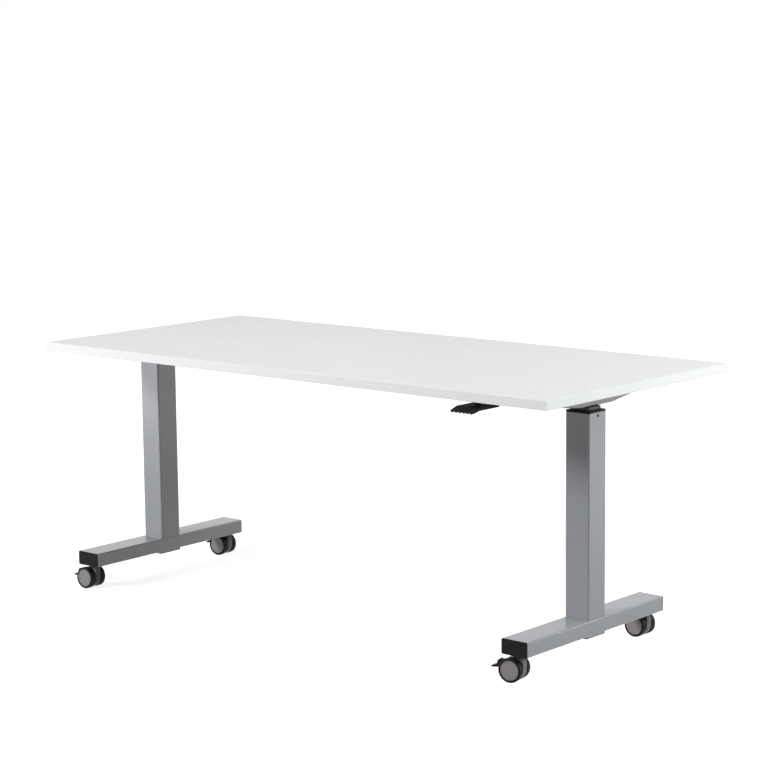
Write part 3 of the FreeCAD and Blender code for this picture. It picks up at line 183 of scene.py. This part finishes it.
def moulded(name, deep, pale, gloss, grain, relief):
    """Injection-moulded plastic: two tones, a roughness, a grain per metre and its relief."""
    plastic = Finish(name)
    fine = plastic.noise(grain, detail=3.0)
    sweep = plastic.noise(per_metre=18.0, detail=2.0)
    plastic.surface(
        Base_Color=plastic.between(deep, pale, fine * 0.5 + sweep * 0.5),
        Roughness=gloss + 0.14 * fine - 0.06 * sweep,
        Specular_IOR_Level=0.10,
        Normal=plastic.bump(fine, relief, depth=0.0003),
    )
    return plastic


cap_black = moulded("cap_black", CAP_DEEP, CAP_PALE, gloss=0.42, grain=1500.0, relief=0.22)
for side in SIDES:
    dress(cap_black, f"{side}_foot_caps")


# Clamp plates and column bolts. A flat steel plate under each foot, and four zinc-plated socket
# bolts, countersunk in the plate, that go through the foot into the block welded in the column.

PLATE_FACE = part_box("left_base_plate")[0].z
BOLT_RADIUS = 0.004
BOLT_HEAD_RADIUS = 0.0079
BOLT_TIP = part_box("left_column_bolts")[1].z
BOLT_SPREAD = 0.020
BOLT_EDGE = 0.00025
SOCKET_RADIUS = 0.0029
SOCKET_DEPTH = 0.0026
ZINC_DULL = (0.42, 0.43, 0.45, 1)
ZINC_BRIGHT = (0.66, 0.66, 0.65, 1)
FACING = 0.9
CREASE = math.radians(35)
SMOOTH = math.radians(30)

for side in SIDES:
    dress(silver_coat, f"{side}_base_plate")

zinc = Finish("zinc_plate")
spangle = zinc.cells(per_metre=700.0)
stain = zinc.noise(per_metre=160.0, detail=4.0)
zinc.surface(
    Base_Color=zinc.between(ZINC_DULL, ZINC_BRIGHT, spangle * 0.4 + stain * 0.6),
    Metallic=1.0,
    Roughness=0.26 + 0.16 * stain,
    Normal=zinc.bump(stain, strength=0.08, depth=0.0003),
)


def alone():
    """Nothing selected, so that the next operator acts on the new piece only."""
    bpy.ops.object.select_all(action="DESELECT")


def pick(piece, chosen):
    """Select faces of a piece in edit mode, by their middle and normal."""
    bpy.ops.object.mode_set(mode="OBJECT")
    for vertex in piece.data.vertices:
        vertex.select = False
    for edge in piece.data.edges:
        edge.select = False
    for face in piece.data.polygons:
        face.select = chosen(face.center, face.normal)
    bpy.ops.object.mode_set(mode="EDIT")
    bpy.ops.mesh.select_mode(type="FACE")


def cut(piece, cutter):
    """Take a cutter's shape out of a piece."""
    bpy.context.view_layer.objects.active = piece
    trim = piece.modifiers.new("cut", "BOOLEAN")
    trim.operation = "DIFFERENCE"
    trim.solver = "EXACT"
    trim.object = cutter
    bpy.ops.object.modifier_apply(modifier=trim.name)
    bpy.data.objects.remove(cutter)


def broken_edges(piece, width, steps):
    """Break the sharp edges of a piece, and shade it smooth between them."""
    alone()
    piece.select_set(True)
    bpy.context.view_layer.objects.active = piece
    soften = piece.modifiers.new("edges", "BEVEL")
    soften.width = width
    soften.segments = steps
    soften.limit_method = "ANGLE"
    soften.angle_limit = CREASE
    bpy.ops.object.modifier_apply(modifier=soften.name)
    bpy.ops.object.shade_smooth_by_angle(angle=SMOOTH)


def repeated(pattern, name, places, turn=0.0):
    """Copies of a pattern at several places, each with its own mesh, joined as one piece."""
    copies = []
    for place in places:
        alone()
        pattern.select_set(True)
        bpy.context.view_layer.objects.active = pattern
        bpy.ops.object.duplicate()
        twin = bpy.context.view_layer.objects.active
        twin.location = place
        twin.rotation_euler.z = turn
        copies.append(twin)
    alone()
    for twin in copies:
        twin.select_set(True)
    bpy.context.view_layer.objects.active = copies[0]
    bpy.ops.object.transform_apply(location=True, rotation=True, scale=True)
    bpy.ops.object.join()
    copies[0].name = name
    copies[0].data.name = name
    return copies[0]


def finished(piece, finish, body, slot, *nodes):
    """A new piece gets its finish and its body, and the CAD pieces it stands for are hidden; slot is not
    used.
    """
    piece.data.materials.clear()
    piece.data.materials.append(finish.material)
    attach(piece, body)
    if nodes:
        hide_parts(*nodes)


def socket_bolt():
    """A countersunk bolt on the upright axis, its head's face on the clamp plate's underside."""
    alone()
    sink = BOLT_HEAD_RADIUS - BOLT_RADIUS
    bpy.ops.mesh.primitive_cone_add(
        vertices=36,
        radius1=BOLT_HEAD_RADIUS,
        radius2=BOLT_RADIUS,
        depth=sink,
        location=(0, 0, PLATE_FACE + sink / 2),
    )
    bolt = bpy.context.object
    bpy.ops.object.transform_apply(location=True, rotation=True, scale=True)
    pick(bolt, lambda middle, normal: normal.z > FACING)
    bpy.ops.mesh.extrude_region_move(
        TRANSFORM_OT_translate={"value": (0, 0, BOLT_TIP - PLATE_FACE - sink)}
    )
    bpy.ops.object.mode_set(mode="OBJECT")
    alone()
    bpy.ops.mesh.primitive_cylinder_add(
        vertices=6, radius=SOCKET_RADIUS, depth=2 * SOCKET_DEPTH, location=(0, 0, PLATE_FACE)
    )
    cut(bolt, bpy.context.object)
    broken_edges(bolt, BOLT_EDGE, steps=2)
    return bolt


bolt = socket_bolt()
for side in SIDES:
    low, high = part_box(f"{side}_base_plate")
    middle = (low + high) / 2
    spots = [
        (middle.x + across * BOLT_SPREAD, middle.y + along * BOLT_SPREAD, 0)
        for across in (-1, 1)
        for along in (-1, 1)
    ]
    bolts = repeated(bolt, f"{side}_socket_bolts", spots)
    finished(bolts, zinc, f"{side}_base", "bright_steel", f"{side}_column_bolts")
bpy.data.objects.remove(bolt)


# Castors. Twin-wheel furniture castors: a grey moulded body with a steel stem pressed into the
# foot over a plastic washer, a black brake pedal behind, and two wheels with grey discs inside
# soft black tyres.

ENDS = ("front", "rear")
CASTOR_TURN = {
    "left_front": math.radians(3),
    "left_rear": math.radians(5),
    "right_front": math.radians(10),
    "right_rear": math.radians(-1),
}
BODY_DEEP = (0.150, 0.146, 0.142, 1)
BODY_PALE = (0.205, 0.200, 0.194, 1)
PEDAL_DEEP = (0.0070, 0.0067, 0.0065, 1)
PEDAL_PALE = (0.0125, 0.0120, 0.0116, 1)
DISC_DEEP = (0.180, 0.174, 0.171, 1)
DISC_PALE = (0.233, 0.225, 0.222, 1)
DISC_SHADE = (0.060, 0.058, 0.057, 1)
DISC_RINGS = 9000.0
GROOVE_SHARE = 0.87
GROOVE_FLOOR = 0.0002
GROOVE_LIP = 0.0006
RIM_INSIDE = 0.0009
RIM_OUTSIDE = 0.0002
TYRE_DEEP = (0.0050, 0.0048, 0.0046, 1)
TYRE_PALE = (0.0095, 0.0091, 0.0088, 1)
TREAD_INSIDE = 0.0012
TREAD_OUTSIDE = 0.0001
DUST = (0.040, 0.037, 0.034, 1)
STEM_INSET = 0.026
FOOT_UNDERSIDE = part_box("left_foot_tube")[0].z
WASHER_OUTSIDE = 0.0115
WASHER_BORE = 0.0058
WASHER_THICKNESS = 0.0013
WASHER_PLAY = 0.0001
WASHER_EDGE = 0.0002

body_grey = moulded("castor_body_grey", BODY_DEEP, BODY_PALE, gloss=0.30, grain=900.0, relief=0.10)
pedal_black = moulded("pedal_black", PEDAL_DEEP, PEDAL_PALE, gloss=0.34, grain=1300.0, relief=0.14)


def part_way(finish, value, low, high):
    """0 below low, 1 above high, smooth between."""
    return finish.node(
        "ShaderNodeMapRange",
        {"interpolation_type": "SMOOTHSTEP"},
        {"Value": value, "From Min": low, "From Max": high},
    )


def drawn_out(finish, factors):
    """The place on a piece, its pattern drawn out or pressed together along each axis."""
    return finish.node("ShaderNodeMapping", {}, {"Vector": finish.place, "Scale": factors})


def from_axle(finish, node, turn):
    """Move a wheel's pattern to its own axle; gives the distance from it and the node's radius."""
    low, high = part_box(node)
    finish.place = finish.node(
        "ShaderNodeMapping",
        {"vector_type": "TEXTURE"},
        {"Vector": finish.place, "Location": (low + high) / 2, "Rotation": (0, 0, turn)},
    )
    flat = finish.node(
        "ShaderNodeVectorMath", {"operation": "MULTIPLY"}, {0: finish.place, 1: (1, 0, 1)}
    )
    reach = finish.node("ShaderNodeVectorMath", {"operation": "LENGTH"}, {0: flat}, "Value")
    return reach, (high.z - low.z) / 2


def wheel_disc(node, turn):
    """Moulded grey disc: faint turned rings, a shallow ring groove, and painted shade in the groove and
    round the rim.
    """
    disc = Finish(f"{node}_grey")
    reach, radius = from_axle(disc, node, turn)
    fine = disc.noise(per_metre=1100.0, detail=3.0)
    sweep = disc.noise(per_metre=45.0, detail=2.0)
    rings = disc.node("ShaderNodeMath", {"operation": "SINE"}, {0: reach * DISC_RINGS})
    groove = 1 - part_way(disc, abs(reach - GROOVE_SHARE * radius), GROOVE_FLOOR, GROOVE_LIP)
    rim_shade = part_way(disc, reach, radius - RIM_INSIDE, radius - RIM_OUTSIDE)
    tone = disc.between(DISC_DEEP, DISC_PALE, fine * 0.4 + sweep * 0.6)
    disc.surface(
        # painted shade: the colour darkens toward DISC_SHADE in the ring groove and at the rim next to the
        # tyre
        Base_Color=disc.between(tone, DISC_SHADE, groove * 0.35 + rim_shade * 0.5),
        Roughness=0.30 + 0.10 * fine + 0.03 * rings,
        Specular_IOR_Level=0.50,
        Normal=disc.bump(0.05 * rings + 0.3 * fine - groove, strength=0.25, depth=0.0003),
    )
    return disc


def soft_tyre(node, turn):
    """Soft black tyre: a dry sheen, and a little floor dust rubbed into the tread."""
    tyre = Finish(f"{node}_black")
    reach, radius = from_axle(tyre, node, turn)
    fine = tyre.noise(per_metre=700.0, detail=4.0)
    scuff = tyre.noise(per_metre=90.0, detail=4.0, place=drawn_out(tyre, (1, 0.25, 1)))
    tread = part_way(tyre, reach, radius - TREAD_INSIDE, radius - TREAD_OUTSIDE)
    dust = tread * part_way(tyre, scuff, 0.48, 0.70)
    tone = tyre.between(TYRE_DEEP, TYRE_PALE, fine)
    tyre.surface(
        Base_Color=tyre.between(tone, DUST, dust * 0.40),
        Roughness=0.44 + 0.12 * fine + 0.20 * dust,
        Specular_IOR_Level=0.12,
        Normal=tyre.bump(fine, strength=0.16, depth=0.0004),
    )
    return tyre


def stem_washer():
    """Plastic washer on the upright axis, at the height of the gap below the foot."""
    alone()
    bpy.ops.mesh.primitive_cylinder_add(
        vertices=48,
        radius=WASHER_OUTSIDE,
        depth=WASHER_THICKNESS,
        location=(0, 0, FOOT_UNDERSIDE - WASHER_PLAY - WASHER_THICKNESS / 2),
    )
    washer = bpy.context.object
    bpy.ops.object.transform_apply(location=True, rotation=True, scale=True)
    pick(washer, lambda middle, normal: abs(normal.z) > FACING)
    bpy.ops.mesh.inset(thickness=WASHER_OUTSIDE - WASHER_BORE)
    bpy.ops.mesh.bridge_edge_loops()
    bpy.ops.object.mode_set(mode="OBJECT")
    broken_edges(washer, WASHER_EDGE, steps=2)
    return washer


washer = stem_washer()
for side in SIDES:
    for end in ENDS:
        castor = f"{side}_{end}"
        dress(body_grey, f"{castor}_castor_body")
        dress(pedal_black, f"{castor}_brake_pedal")
        for wheel in ENDS:
            disc, tyre = f"{castor}_{wheel}_disc", f"{castor}_{wheel}_tyre"
            dress(wheel_disc(disc, CASTOR_TURN[castor]), disc)
            dress(soft_tyre(tyre, CASTOR_TURN[castor]), tyre)
        low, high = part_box(f"{side}_foot_caps")
        stem_y = low.y + STEM_INSET if end == "front" else high.y - STEM_INSET
        spot = ((low.x + high.x) / 2, stem_y, 0)
        placed = repeated(washer, f"{castor}_stem_washer", [spot])
        finished(placed, pedal_black, f"{castor}_castor", "black_plastic")
bpy.data.objects.remove(washer)


# Columns. Square outer tubes in the silver coat, with a black guide collar that two push rivets
# hold in the mouth. Dark inner tubes slide in them on plastic glides, and a lockable gas spring
# with a hard-chromed rod stands inside each.

COLLAR_DEEP = (0.0040, 0.0039, 0.0038, 1)
COLLAR_PALE = (0.0072, 0.0070, 0.0068, 1)
TUBE_DEEP = (0.009, 0.009, 0.010, 1)
TUBE_PALE = (0.018, 0.018, 0.019, 1)
CHROME_DEEP = (0.55, 0.56, 0.58, 1)
CHROME_PALE = (0.68, 0.69, 0.71, 1)
TUBE_WALL = 0.0025
RIVET_RADIUS = 0.0027
RIVET_HEAD_RADIUS = 0.0038
RIVET_HEAD_HEIGHT = 0.0009
RIVET_DROP = 0.008
RIVET_EDGE = 0.0003
QUARTER_TURN = math.radians(90)
HALF_TURN = math.radians(180)

collar_black = moulded(
    "collar_black", COLLAR_DEEP, COLLAR_PALE, gloss=0.38, grain=1400.0, relief=0.16
)
tube_black = powder_coat(
    "tube_black_coat", TUBE_DEEP, TUBE_PALE, metal=0.10, gloss=0.42, lacquer=0.30
)

chrome = Finish("hard_chrome")
polish = chrome.noise(per_metre=1200.0, detail=2.0, place=drawn_out(chrome, (1, 1, 0.04)))
chrome.surface(
    Base_Color=chrome.between(CHROME_DEEP, CHROME_PALE, polish),
    Metallic=1.0,
    Roughness=0.08 + 0.08 * polish,
    Normal=chrome.bump(polish, strength=0.03, depth=0.0002),
)

for side in SIDES:
    dress(silver_coat, f"{side}_outer_tube")
    dress(collar_black, f"{side}_top_collar")
    dress(tube_black, f"{side}_inner_tube", f"{side}_gas_cylinder")
    dress(chrome, f"{side}_piston_rod")
dress(collar_black, "inner_glides")


def push_rivet():
    """Black push rivet along X: a thin domed head outside, and a shank through the tube's wall."""
    alone()
    bpy.ops.mesh.primitive_cylinder_add(
        vertices=32,
        radius=RIVET_HEAD_RADIUS,
        depth=RIVET_HEAD_HEIGHT,
        location=(RIVET_HEAD_HEIGHT / 2, 0, 0),
        rotation=(0, QUARTER_TURN, 0),
    )
    rivet = bpy.context.object
    bpy.ops.object.transform_apply(location=True, rotation=True, scale=True)
    pick(rivet, lambda middle, normal: normal.x < -FACING)
    bpy.ops.mesh.inset(thickness=RIVET_HEAD_RADIUS - RIVET_RADIUS)
    bpy.ops.mesh.extrude_region_move(TRANSFORM_OT_translate={"value": (-TUBE_WALL, 0, 0)})
    bpy.ops.object.mode_set(mode="OBJECT")
    broken_edges(rivet, RIVET_EDGE, steps=3)
    return rivet


rivet = push_rivet()
for side in SIDES:
    low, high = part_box(f"{side}_outer_tube")
    middle = (low + high) / 2
    for face, x, turn in (("left", low.x, HALF_TURN), ("right", high.x, 0.0)):
        spot = (x, middle.y, high.z - RIVET_DROP)
        placed = repeated(rivet, f"{side}_collar_rivet_{face}", [spot], turn)
        finished(placed, collar_black, f"{side}_base", "black_plastic")
bpy.data.objects.remove(rivet)


# Brackets and cross beam. Folded sheet-steel channels on the column heads, tied to each other
# by a steel tube whose welded end plates are bolted to them, all in the silver coat.

dress(silver_coat, "left_bracket", "right_bracket", "cross_beam")
dress(zinc, "beam_bolts")


# Release gear. Die-cast heads and steel rockers on the gas springs, worked by two pull cables
# with black sheaths, bright ferrules and bare wire at their ends, in plastic clips.

CAST_DEEP = (0.40, 0.40, 0.41, 1)
CAST_PALE = (0.58, 0.58, 0.58, 1)
SHEATH_DEEP = (0.011, 0.011, 0.011, 1)
SHEATH_PALE = (0.021, 0.020, 0.020, 1)
WIRE_DEEP = (0.44, 0.44, 0.45, 1)
WIRE_PALE = (0.62, 0.62, 0.62, 1)
FERRULE_X = 0.753
FERRULE_Y = -0.2515

die_cast = Finish("die_cast_aluminium")
grains = die_cast.noise(per_metre=600.0, detail=5.0)
flow = die_cast.noise(per_metre=40.0, detail=3.0)
die_cast.surface(
    Base_Color=die_cast.between(CAST_DEEP, CAST_PALE, grains * 0.5 + flow * 0.5),
    Metallic=1.0,
    Roughness=0.40 + 0.20 * grains,
    Normal=die_cast.bump(grains, strength=0.20, depth=0.0004),
)
dress(die_cast, "release_heads")
dress(zinc, "left_release_rocker", "right_release_rocker", "valve_pins")


def place_on(finish, axis):
    """The place on a piece, along one axis."""
    return finish.node("ShaderNodeSeparateXYZ", {}, {"Vector": finish.place}, axis)


sheath = Finish("cable_sheath")
skin = sheath.noise(per_metre=1000.0, detail=3.0)
at_lever = place_on(sheath, "Y") < FERRULE_Y
at_head = abs(place_on(sheath, "X")) > FERRULE_X
bare = 1 - (1 - at_lever) * (1 - at_head)
black = sheath.between(SHEATH_DEEP, SHEATH_PALE, skin)
steel = sheath.between(WIRE_DEEP, WIRE_PALE, skin)
sheath.surface(
    Base_Color=sheath.between(black, steel, bare),
    Metallic=bare,
    Roughness=0.44 - 0.14 * bare + 0.10 * skin,
    Normal=sheath.bump(skin, strength=0.12, depth=0.0002),
)
dress(sheath, "left_release_cable", "right_release_cable")
dress(pedal_black, "cable_clips")


# Hand lever. A black moulded paddle with finger ribs under its drooped front, on a steel pin in
# a folded bracket. Two push-on washers hold the pin in the bracket's ears.

LEVER_DEEP = (0.0120, 0.0108, 0.0100, 1)
LEVER_PALE = (0.0235, 0.0210, 0.0195, 1)
DARK_DEEP = (0.060, 0.061, 0.064, 1)
DARK_PALE = (0.098, 0.099, 0.103, 1)
EAR_FACE = 0.0305
PIN_RADIUS = 0.0030
RING_OUTSIDE = 0.0048
RING_THICKNESS = 0.0009
RING_PLAY = 0.00005
RING_EDGE = 0.0002

lever_black = moulded("lever_black", LEVER_DEEP, LEVER_PALE, gloss=0.40, grain=1200.0, relief=0.20)
dark_coat = powder_coat(
    "dark_powder_coat", DARK_DEEP, DARK_PALE, metal=0.25, gloss=0.42, lacquer=0.70
)
dress(lever_black, "release_lever")
dress(dark_coat, "lever_bracket")
dress(zinc, "lever_pin")


def push_on_washer():
    """Thin domed ring on the pin's axis."""
    alone()
    bpy.ops.mesh.primitive_cylinder_add(
        vertices=32, radius=RING_OUTSIDE, depth=RING_THICKNESS, rotation=(0, QUARTER_TURN, 0)
    )
    ring = bpy.context.object
    bpy.ops.object.transform_apply(location=True, rotation=True, scale=True)
    pick(ring, lambda middle, normal: abs(normal.x) > FACING)
    bpy.ops.mesh.inset(thickness=RING_OUTSIDE - PIN_RADIUS - RING_PLAY)
    bpy.ops.mesh.bridge_edge_loops()
    bpy.ops.object.mode_set(mode="OBJECT")
    broken_edges(ring, RING_EDGE, steps=2)
    return ring


low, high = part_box("lever_pin")
pin_middle = (low + high) / 2
ring_x = EAR_FACE + RING_THICKNESS / 2 + RING_PLAY
spots = [pin_middle + Vector((flank * ring_x, 0, 0)) for flank in (-1, 1)]
ring = push_on_washer()
rings = repeated(ring, "lever_pin_washers", spots)
finished(rings, zinc, "top", "bright_steel")
bpy.data.objects.remove(ring)


# Top. A white melamine-faced board with a white plastic edging strip glued round it. The face
# has the fine pearl grain of its press plate, the strip the faint lines of its extrusion.

FACE_DEEP = (0.760, 0.785, 0.780, 1)
FACE_PALE = (0.815, 0.830, 0.826, 1)
STRIP_DEEP = (0.762, 0.780, 0.790, 1)
STRIP_PALE = (0.818, 0.836, 0.846, 1)
GLUE = (0.40, 0.38, 0.36, 1)
GLUE_INSIDE = 0.00008
GLUE_OUTSIDE = 0.00022
TOP_HALF_LENGTH = 0.900
TOP_HALF_WIDTH = 0.400
STRIP_THICKNESS = 0.002

melamine = Finish("white_melamine")
pearl = melamine.noise(per_metre=850.0, detail=3.0)
mottle = melamine.noise(per_metre=9.0, detail=3.0)
wiped = melamine.noise(per_metre=60.0, detail=3.0, place=drawn_out(melamine, (0.12, 1, 1)))
melamine.surface(
    Base_Color=melamine.between(FACE_DEEP, FACE_PALE, pearl * 0.35 + mottle * 0.65),
    Roughness=0.46 + 0.10 * pearl - 0.08 * wiped,
    Specular_IOR_Level=0.28,
    Normal=melamine.bump(pearl, strength=0.07, depth=0.0003),
)
dress(melamine, "tabletop_board")

edging = Finish("white_edging")
drawn = edging.noise(per_metre=40.0, detail=3.0, place=drawn_out(edging, (0.4, 0.4, 30.0)))
speck = edging.noise(per_metre=700.0, detail=2.0)
past_end = abs(place_on(edging, "X")) - (TOP_HALF_LENGTH - STRIP_THICKNESS)
past_side = abs(place_on(edging, "Y")) - (TOP_HALF_WIDTH - STRIP_THICKNESS)
outward = edging.node("ShaderNodeMath", {"operation": "MAXIMUM"}, {0: past_end, 1: past_side})
glue_line = 1 - part_way(edging, outward, GLUE_INSIDE, GLUE_OUTSIDE)
strip = edging.between(STRIP_DEEP, STRIP_PALE, drawn * 0.6 + speck * 0.4)
edging.surface(
    Base_Color=edging.between(strip, GLUE, glue_line * 0.55),
    Roughness=0.36 + 0.12 * drawn,
    Normal=edging.bump(drawn + 0.3 * speck, strength=0.05, depth=0.0003),
)
dress(edging, "edge_bands")


# Wood screws. Zinc-plated pan heads with a cross recess hold the brackets, the lever's bracket
# and the cable clips to the underside of the board.

SHEET = 0.0025
SCREW_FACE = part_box("tabletop_board")[0].z - SHEET
SCREW_HEAD_RADIUS = 0.0045
SCREW_HEAD_HEIGHT = 0.003
SCREW_HEAD_DOME = 0.0019
SCREW_RADIUS = 0.0022
SCREW_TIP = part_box("top_screws")[1].z
SCREW_NECK = SCREW_TIP - SCREW_RADIUS
SCREW_EDGE = 0.00012
RECESS_LENGTH = 0.0050
RECESS_WIDTH = 0.0011
RECESS_DEPTH = 0.0019
RECESS_TAPER = 0.55
BRACKET_SCREW_ROWS = (-0.250, -0.054, 0.250)
BRACKET_SCREW_OUT = 0.030
LEVER_SCREW_INSET = 0.008
LEVER_SCREW_REAR_INSET = 0.0105
CLIP_COUNT = 3
CLIP_PITCH = 0.380
CLIP_SCREW_X = 0.005
CLIP_SCREW_Y = 0.0065


def pan_screw():
    """A cross-recess screw on the upright axis, its head below the sheet it holds."""
    alone()
    bpy.ops.mesh.primitive_cylinder_add(
        vertices=32,
        radius=SCREW_HEAD_RADIUS,
        depth=SCREW_HEAD_HEIGHT,
        location=(0, 0, SCREW_FACE - SCREW_HEAD_HEIGHT / 2),
    )
    screw = bpy.context.object
    bpy.ops.object.transform_apply(location=True, rotation=True, scale=True)
    pick(screw, lambda middle, normal: normal.z < -FACING)
    bpy.ops.mesh.bevel(offset=SCREW_HEAD_DOME, segments=5, affect="EDGES")
    pick(screw, lambda middle, normal: normal.z > FACING)
    bpy.ops.mesh.inset(thickness=SCREW_HEAD_RADIUS - SCREW_RADIUS)
    for rise in (SCREW_NECK - SCREW_FACE, SCREW_TIP - SCREW_NECK):
        bpy.ops.mesh.extrude_region_move(TRANSFORM_OT_translate={"value": (0, 0, rise)})
    bpy.ops.mesh.merge(type="CENTER")
    bpy.ops.object.mode_set(mode="OBJECT")
    for sides in ((RECESS_LENGTH, RECESS_WIDTH), (RECESS_WIDTH, RECESS_LENGTH)):
        alone()
        bpy.ops.mesh.primitive_cube_add(size=1, location=(0, 0, SCREW_FACE - SCREW_HEAD_HEIGHT))
        blade = bpy.context.object
        blade.scale = (*sides, 2 * RECESS_DEPTH)
        bpy.ops.object.transform_apply(location=True, rotation=True, scale=True)
        pick(blade, lambda middle, normal: normal.z > FACING)
        bpy.ops.transform.resize(value=(RECESS_TAPER, RECESS_TAPER, 1))
        bpy.ops.object.mode_set(mode="OBJECT")
        cut(screw, blade)
    broken_edges(screw, SCREW_EDGE, steps=1)
    return screw


spots = []
for side in SIDES:
    low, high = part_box(f"{side}_bracket")
    middle = (low + high) / 2
    for flank in (-1, 1):
        for row in BRACKET_SCREW_ROWS:
            spots.append((middle.x + flank * BRACKET_SCREW_OUT, middle.y + row, 0))
low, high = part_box("lever_bracket")
for x in (low.x + LEVER_SCREW_INSET, high.x - LEVER_SCREW_INSET):
    for y in (low.y + LEVER_SCREW_INSET, high.y - LEVER_SCREW_REAR_INSET):
        spots.append((x, y, 0))
low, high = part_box("cable_clips")
for clip in range(CLIP_COUNT):
    spots.append((low.x + CLIP_SCREW_X + CLIP_PITCH * clip, low.y + CLIP_SCREW_Y, 0))

screw = pan_screw()
screws = repeated(screw, "pan_head_screws", spots)
finished(screws, zinc, "top", "bright_steel", "top_screws")
bpy.data.objects.remove(screw)


# Studio. A white paper floor that keeps the table's soft shadow, and that reflections see darker
# in front of the table. A large soft lamp stands high at the front left, weaker ones low left,
# right and behind, and the camera where the photograph was taken.

FLOOR_SIZE = 120
FLOOR_SHADOWED = (0.42, 0.42, 0.42, 1)
FLOOR_BOUNCE = (0.38, 0.34, 0.30, 1)
NEAR_GLOW = 0.85
FAR_GLOW_GAIN = 0.25
GLOW_RISES = (1.2, 3.5)
DARK_SHARE = 0.85
FAR_DARK = (1.7, 3.2)
FRONT_DARK = (0.7, 1.8)
FRONT_DARK_FROM_LEFT = (-1.7, -0.7)
LENS_WAY = (0.66, 0.75)
LENS_DARK = (1.0, 1.5)
WHITE = (1, 1, 1, 1)
SURROUND_LIGHT = 0.03

scene = bpy.context.scene
scene.view_settings.view_transform = "Standard"

alone()
bpy.ops.mesh.primitive_plane_add(size=FLOOR_SIZE, location=(0, 0, 0))
floor = bpy.context.object
floor.name = "studio_floor"


def seen_share(wiring):
    """1 for what the camera, a gloss or a glass sees, 0 for light that only falls on things."""
    camera_ray = wiring.node("ShaderNodeLightPath", {}, {}, "Is Camera Ray")
    rays = camera_ray.socket.node.outputs
    gloss = Value(wiring, rays["Is Glossy Ray"])
    glass = Value(wiring, rays["Is Transmission Ray"])
    return 1 - (1 - camera_ray) * (1 - gloss) * (1 - glass)


paper = Finish("studio_paper")
away = paper.node("ShaderNodeVectorMath", {"operation": "LENGTH"}, {0: paper.place}, "Value")
beside = place_on(paper, "X")
ahead = 0 - place_on(paper, "Y")
far_dark = part_way(paper, ahead, *FAR_DARK)
front_dark = part_way(paper, ahead, *FRONT_DARK) * part_way(paper, beside, *FRONT_DARK_FROM_LEFT)
lens_dark = part_way(paper, LENS_WAY[0] * beside + LENS_WAY[1] * ahead, *LENS_DARK)
dark = 1 - (1 - far_dark) * (1 - front_dark) * (1 - lens_dark)
camera_ray = paper.node("ShaderNodeLightPath", {}, {}, "Is Camera Ray")
bright = NEAR_GLOW + FAR_GLOW_GAIN * part_way(paper, away, *GLOW_RISES)
bright = bright * (1 - DARK_SHARE * dark * (1 - camera_ray))
glow = paper.node("ShaderNodeEmission", {}, {"Color": WHITE, "Strength": bright})
shadowed = paper.node("ShaderNodeBsdfDiffuse", {}, {"Color": FLOOR_SHADOWED})
shown = paper.node("ShaderNodeAddShader", {}, {0: shadowed, 1: glow})
bounce = paper.node("ShaderNodeBsdfDiffuse", {}, {"Color": FLOOR_BOUNCE})
upper = paper.node("ShaderNodeMixShader", {}, {0: seen_share(paper), 1: bounce, 2: shown})
clear = paper.node("ShaderNodeBsdfTransparent", {}, {})
under = paper.node("ShaderNodeNewGeometry", {}, {}, "Backfacing")
sheet = paper.node("ShaderNodeMixShader", {}, {0: under, 1: upper, 2: clear})
paper.tree.nodes.remove(paper.shader)
paper.feed(paper.tree.nodes["Material Output"], {"Surface": sheet})
floor.data.materials.append(paper.material)

world = bpy.data.worlds.new("white_surround")
world.use_nodes = True
scene.world = world
surround = Wiring(world.node_tree)
strength = SURROUND_LIGHT + (1 - SURROUND_LIGHT) * seen_share(surround)
surround.feed(surround.tree.nodes["Background"], {"Color": WHITE, "Strength": strength})


def softbox(name, place, aim, size, watts, tint):
    """A flat lamp that faces a point and is not seen itself."""
    data = bpy.data.lights.new(name, "AREA")
    data.shape = "RECTANGLE"
    data.size, data.size_y = size
    data.energy = watts
    data.color = tint
    lamp = bpy.data.objects.new(name, data)
    lamp.location = place
    lamp.rotation_euler = (Vector(aim) - Vector(place)).to_track_quat("-Z", "Y").to_euler()
    lamp.visible_camera = False
    scene.collection.objects.link(lamp)


softbox(
    "front_left",
    place=(-4.0, -7.0, 5.2), aim=(0.0, -0.2, 0.4), size=(3.0, 2.4), watts=805.0, tint=(1.0, 0.985, 0.995),
)
softbox(
    "left_low",
    place=(-2.4, -2.1, 0.35), aim=(-0.78, -0.1, 0.15), size=(1.0, 0.6), watts=9.5, tint=(0.93, 0.93, 1.0),
)
softbox(
    "right",
    place=(5.5, 0.6, 3.0), aim=(0.6, -0.1, 0.4), size=(2.4, 1.0), watts=174.0, tint=(0.90, 0.96, 1.0),
)
softbox(
    "right_rear",
    place=(2.8, 2.2, 3.2), aim=(0.6, 0.0, 0.3), size=(1.6, 1.2), watts=69.0, tint=(1.0, 0.94, 0.88),
)
softbox(
    "edge_strip",
    place=(1.92, 1.4, 0.58), aim=(0.82, -0.1, 0.1), size=(0.5, 0.15), watts=3.6, tint=(1.0, 1.0, 1.0),
)
softbox(
    "left_rear",
    place=(-2.6, 2.0, 1.8), aim=(-0.6, 0.0, 0.3), size=(1.6, 1.4), watts=3.0, tint=(1.0, 1.0, 1.0),
)

IMAGE_WIDTH = 768
FOCAL_PIXELS = 2221.05
SENSOR = 36.0
CAMERA_PLACE = (4.00848, -4.60108, 1.55961)
CAMERA_TILT = math.radians(90 - 8.648)
CAMERA_TURN = math.radians(40.737)
CAMERA_ROLL = math.radians(-0.598)

lens = bpy.data.cameras.new("photo_camera")
lens.sensor_width = SENSOR
lens.lens = FOCAL_PIXELS / IMAGE_WIDTH * SENSOR
camera = bpy.data.objects.new("photo_camera", lens)
camera.location = CAMERA_PLACE
aim = Euler((CAMERA_TILT, 0, CAMERA_TURN)).to_matrix()
camera.rotation_euler = (aim @ Matrix.Rotation(CAMERA_ROLL, 3, "Z")).to_euler()
scene.collection.objects.link(camera)
scene.camera = camera
